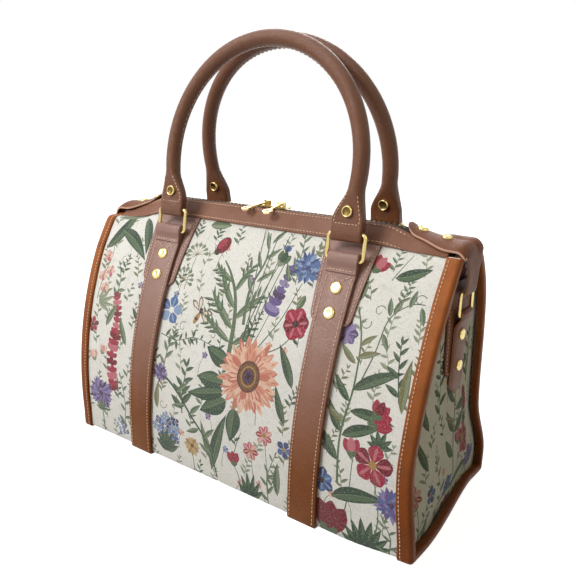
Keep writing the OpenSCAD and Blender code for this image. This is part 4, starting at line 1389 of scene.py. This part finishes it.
def end_print():
    """The print of an end panel, in Y and Z: the part of the meadow round 108 mm right of its middle."""
    shapes = []
    for shape, colour in meadow(8).shapes:
        moved = [(x - 108, 214 - s) for x, s in shape]
        if all(abs(y) < 74 for y, z in moved):
            inside = []
            for y, z in moved:
                limit = edge_at(z) - 2.2
                inside.append((max(min(y, limit), -limit), min(max(z, BASE + 3.0), 203.0)))
            shapes.append((inside, colour))
    edge = [on_body(0, s, -PANEL_IN) for s in steps_round(9.0, 40, 2, 5)]
    outline = [(p.y, p.z) for p in edge] + [(-p.y, p.z) for p in reversed(edge)]
    grid = [(y, z) for z in span(8, 204, 40) for y in span(-72, 72, 30) if abs(y) < edge_at(z) - 2.0]
    return cut_print(shapes, outline, grid)


def end_panel(side, cut):
    verts, faces, colours = cut
    if side == LEFT:
        verts = verts * (-1, 1)

    def place(y, z):
        inside = max(edge_at(z), 1.0) - abs(y)
        swell = END_SWELL * smooth((122 - z) / 60) * smooth((z - BASE - 2) / 30) * smooth((inside - 2) / 26)
        swell += RIM_SWELL * smooth((inside - 3) / 12) * smooth((abs(y) - 26) / 10)
        return slump((side * (PANEL_X - 0.2 + swell), y, z))

    obj = printed_sheet("end_tapestry_" + SIDE[side], "end_panel_" + SIDE[side], (verts, faces, colours),
                        place)
    face_out(obj, lambda c: X * side)


# Stage

def stage():
    """White for the rays that are seen; the floor keeps the shadow and the room lights the bag."""
    size = 6.0
    mesh = bpy.data.meshes.new("floor")
    square = [(-size, -size, 0), (size, -size, 0), (size, size, 0), (-size, size, 0)]
    mesh.from_pydata(square, [], [(0, 1, 2, 3)])
    mat = bpy.data.materials.new("floor")
    n = Nodes(mat)
    glow = n.add("Emission", {"Color": WHITE, "Strength": n.maths("MULTIPLY", n.seen(), FLOOR_GLOW)})
    matte = n.add("BsdfDiffuse", {"Color": (0.4, 0.39, 0.38, 1)})
    n.show(n.add("AddShader", {0: glow.outputs[0], 1: matte.outputs[0]}))
    mesh.materials.append(mat)
    floor = bpy.data.objects.new("floor", mesh)
    link(floor)

    world = bpy.data.worlds.new("world")
    n = Nodes(world, "World")
    side = n.add("SeparateXYZ", {0: n.add("TexCoord").outputs["Generated"]}).outputs[0]
    room = n.spread(side, -0.6, 0.4, *ROOM_LIGHT)
    n.show(n.add("Background", {"Color": WHITE, "Strength": n.maths("MAXIMUM", n.seen(), room)}))
    bpy.context.scene.world = world


def lamp(name, place, aim, size, power, colour):
    data = bpy.data.lights.new(name, "AREA")
    data.shape = "DISK"
    data.size = size
    data.energy = power
    data.color = colour
    obj = bpy.data.objects.new(name, data)
    obj.location = place
    obj.rotation_euler = (Vector(aim) - Vector(place)).to_track_quat("-Z", "Y").to_euler()
    link(obj)


def camera():
    yaw, pitch, roll = math.radians(35.62), math.radians(17.18), math.radians(-0.97)
    back = Vector((math.sin(yaw) * math.cos(pitch), -math.cos(yaw) * math.cos(pitch), math.sin(pitch)))
    right = Vector((math.cos(yaw), math.sin(yaw), 0))
    up = back.cross(right)
    tilt_right = right * math.cos(roll) - up * math.sin(roll)
    tilt_up = right * math.sin(roll) + up * math.cos(roll)
    place = Vector((0.3054, -0.4057, 0.2878))
    data = bpy.data.cameras.new("camera")
    data.sensor_width = 36.0
    data.lens = 36.0 * 634.7 / 576
    data.shift_y = 0.03
    data.clip_start = 0.01
    obj = bpy.data.objects.new("camera", data)
    obj.matrix_world = Matrix([*zip(tilt_right, tilt_up, back, place), (0, 0, 0, 1)])
    link(obj)
    bpy.context.scene.camera = obj


def build():
    camera()
    stage()
    lamp("key", (-0.75, -1.15, 1.05), (0, 0, 0.12), 0.9, 22.0, (1.0, 0.98, 0.95))
    lamp("fill", (-0.7, 1.2, 0.85), (0, 0, 0.12), 1.0, 11.0, (1.0, 0.98, 0.96))
    lamp("warm", (0.9, -0.1, 0.85), (0.16, 0, 0.1), 0.5, 1.5, (1.0, 0.86, 0.3))
    lamp("sky", (-0.35, -0.2, 1.45), (0, 0, 0.1), 1.0, 9.0, (0.93, 0.96, 1.0))
    lining()
    tapestry_wrap()
    ends = end_print()
    for side in (LEFT, RIGHT):
        end_panel(side, ends)
        strap(side)
        binding(side)
        end_hardware(side)
    for face in (FRONT, BACK):
        zip_band(face)
        zip_parts(face)
        handle(face)
        for side in (LEFT, RIGHT):
            strap_patch(face, side)
            ring(face, side)
    rivets()
    dress_cad(["zip_slider_left", "zip_slider_right", "zip_pull_left", "zip_pull_right"], BRASS, 0.2)
    dress_cad(["base_board"], BOARD)
    dress_cad(["handle_core_front", "handle_core_back"], CORE)
    for body, parts in seams.items():
        piece("stitches_" + body, join(parts), THREAD, "leather", body, sharp=80)


build()
bpy.context.scene.view_settings.view_transform = "Standard"
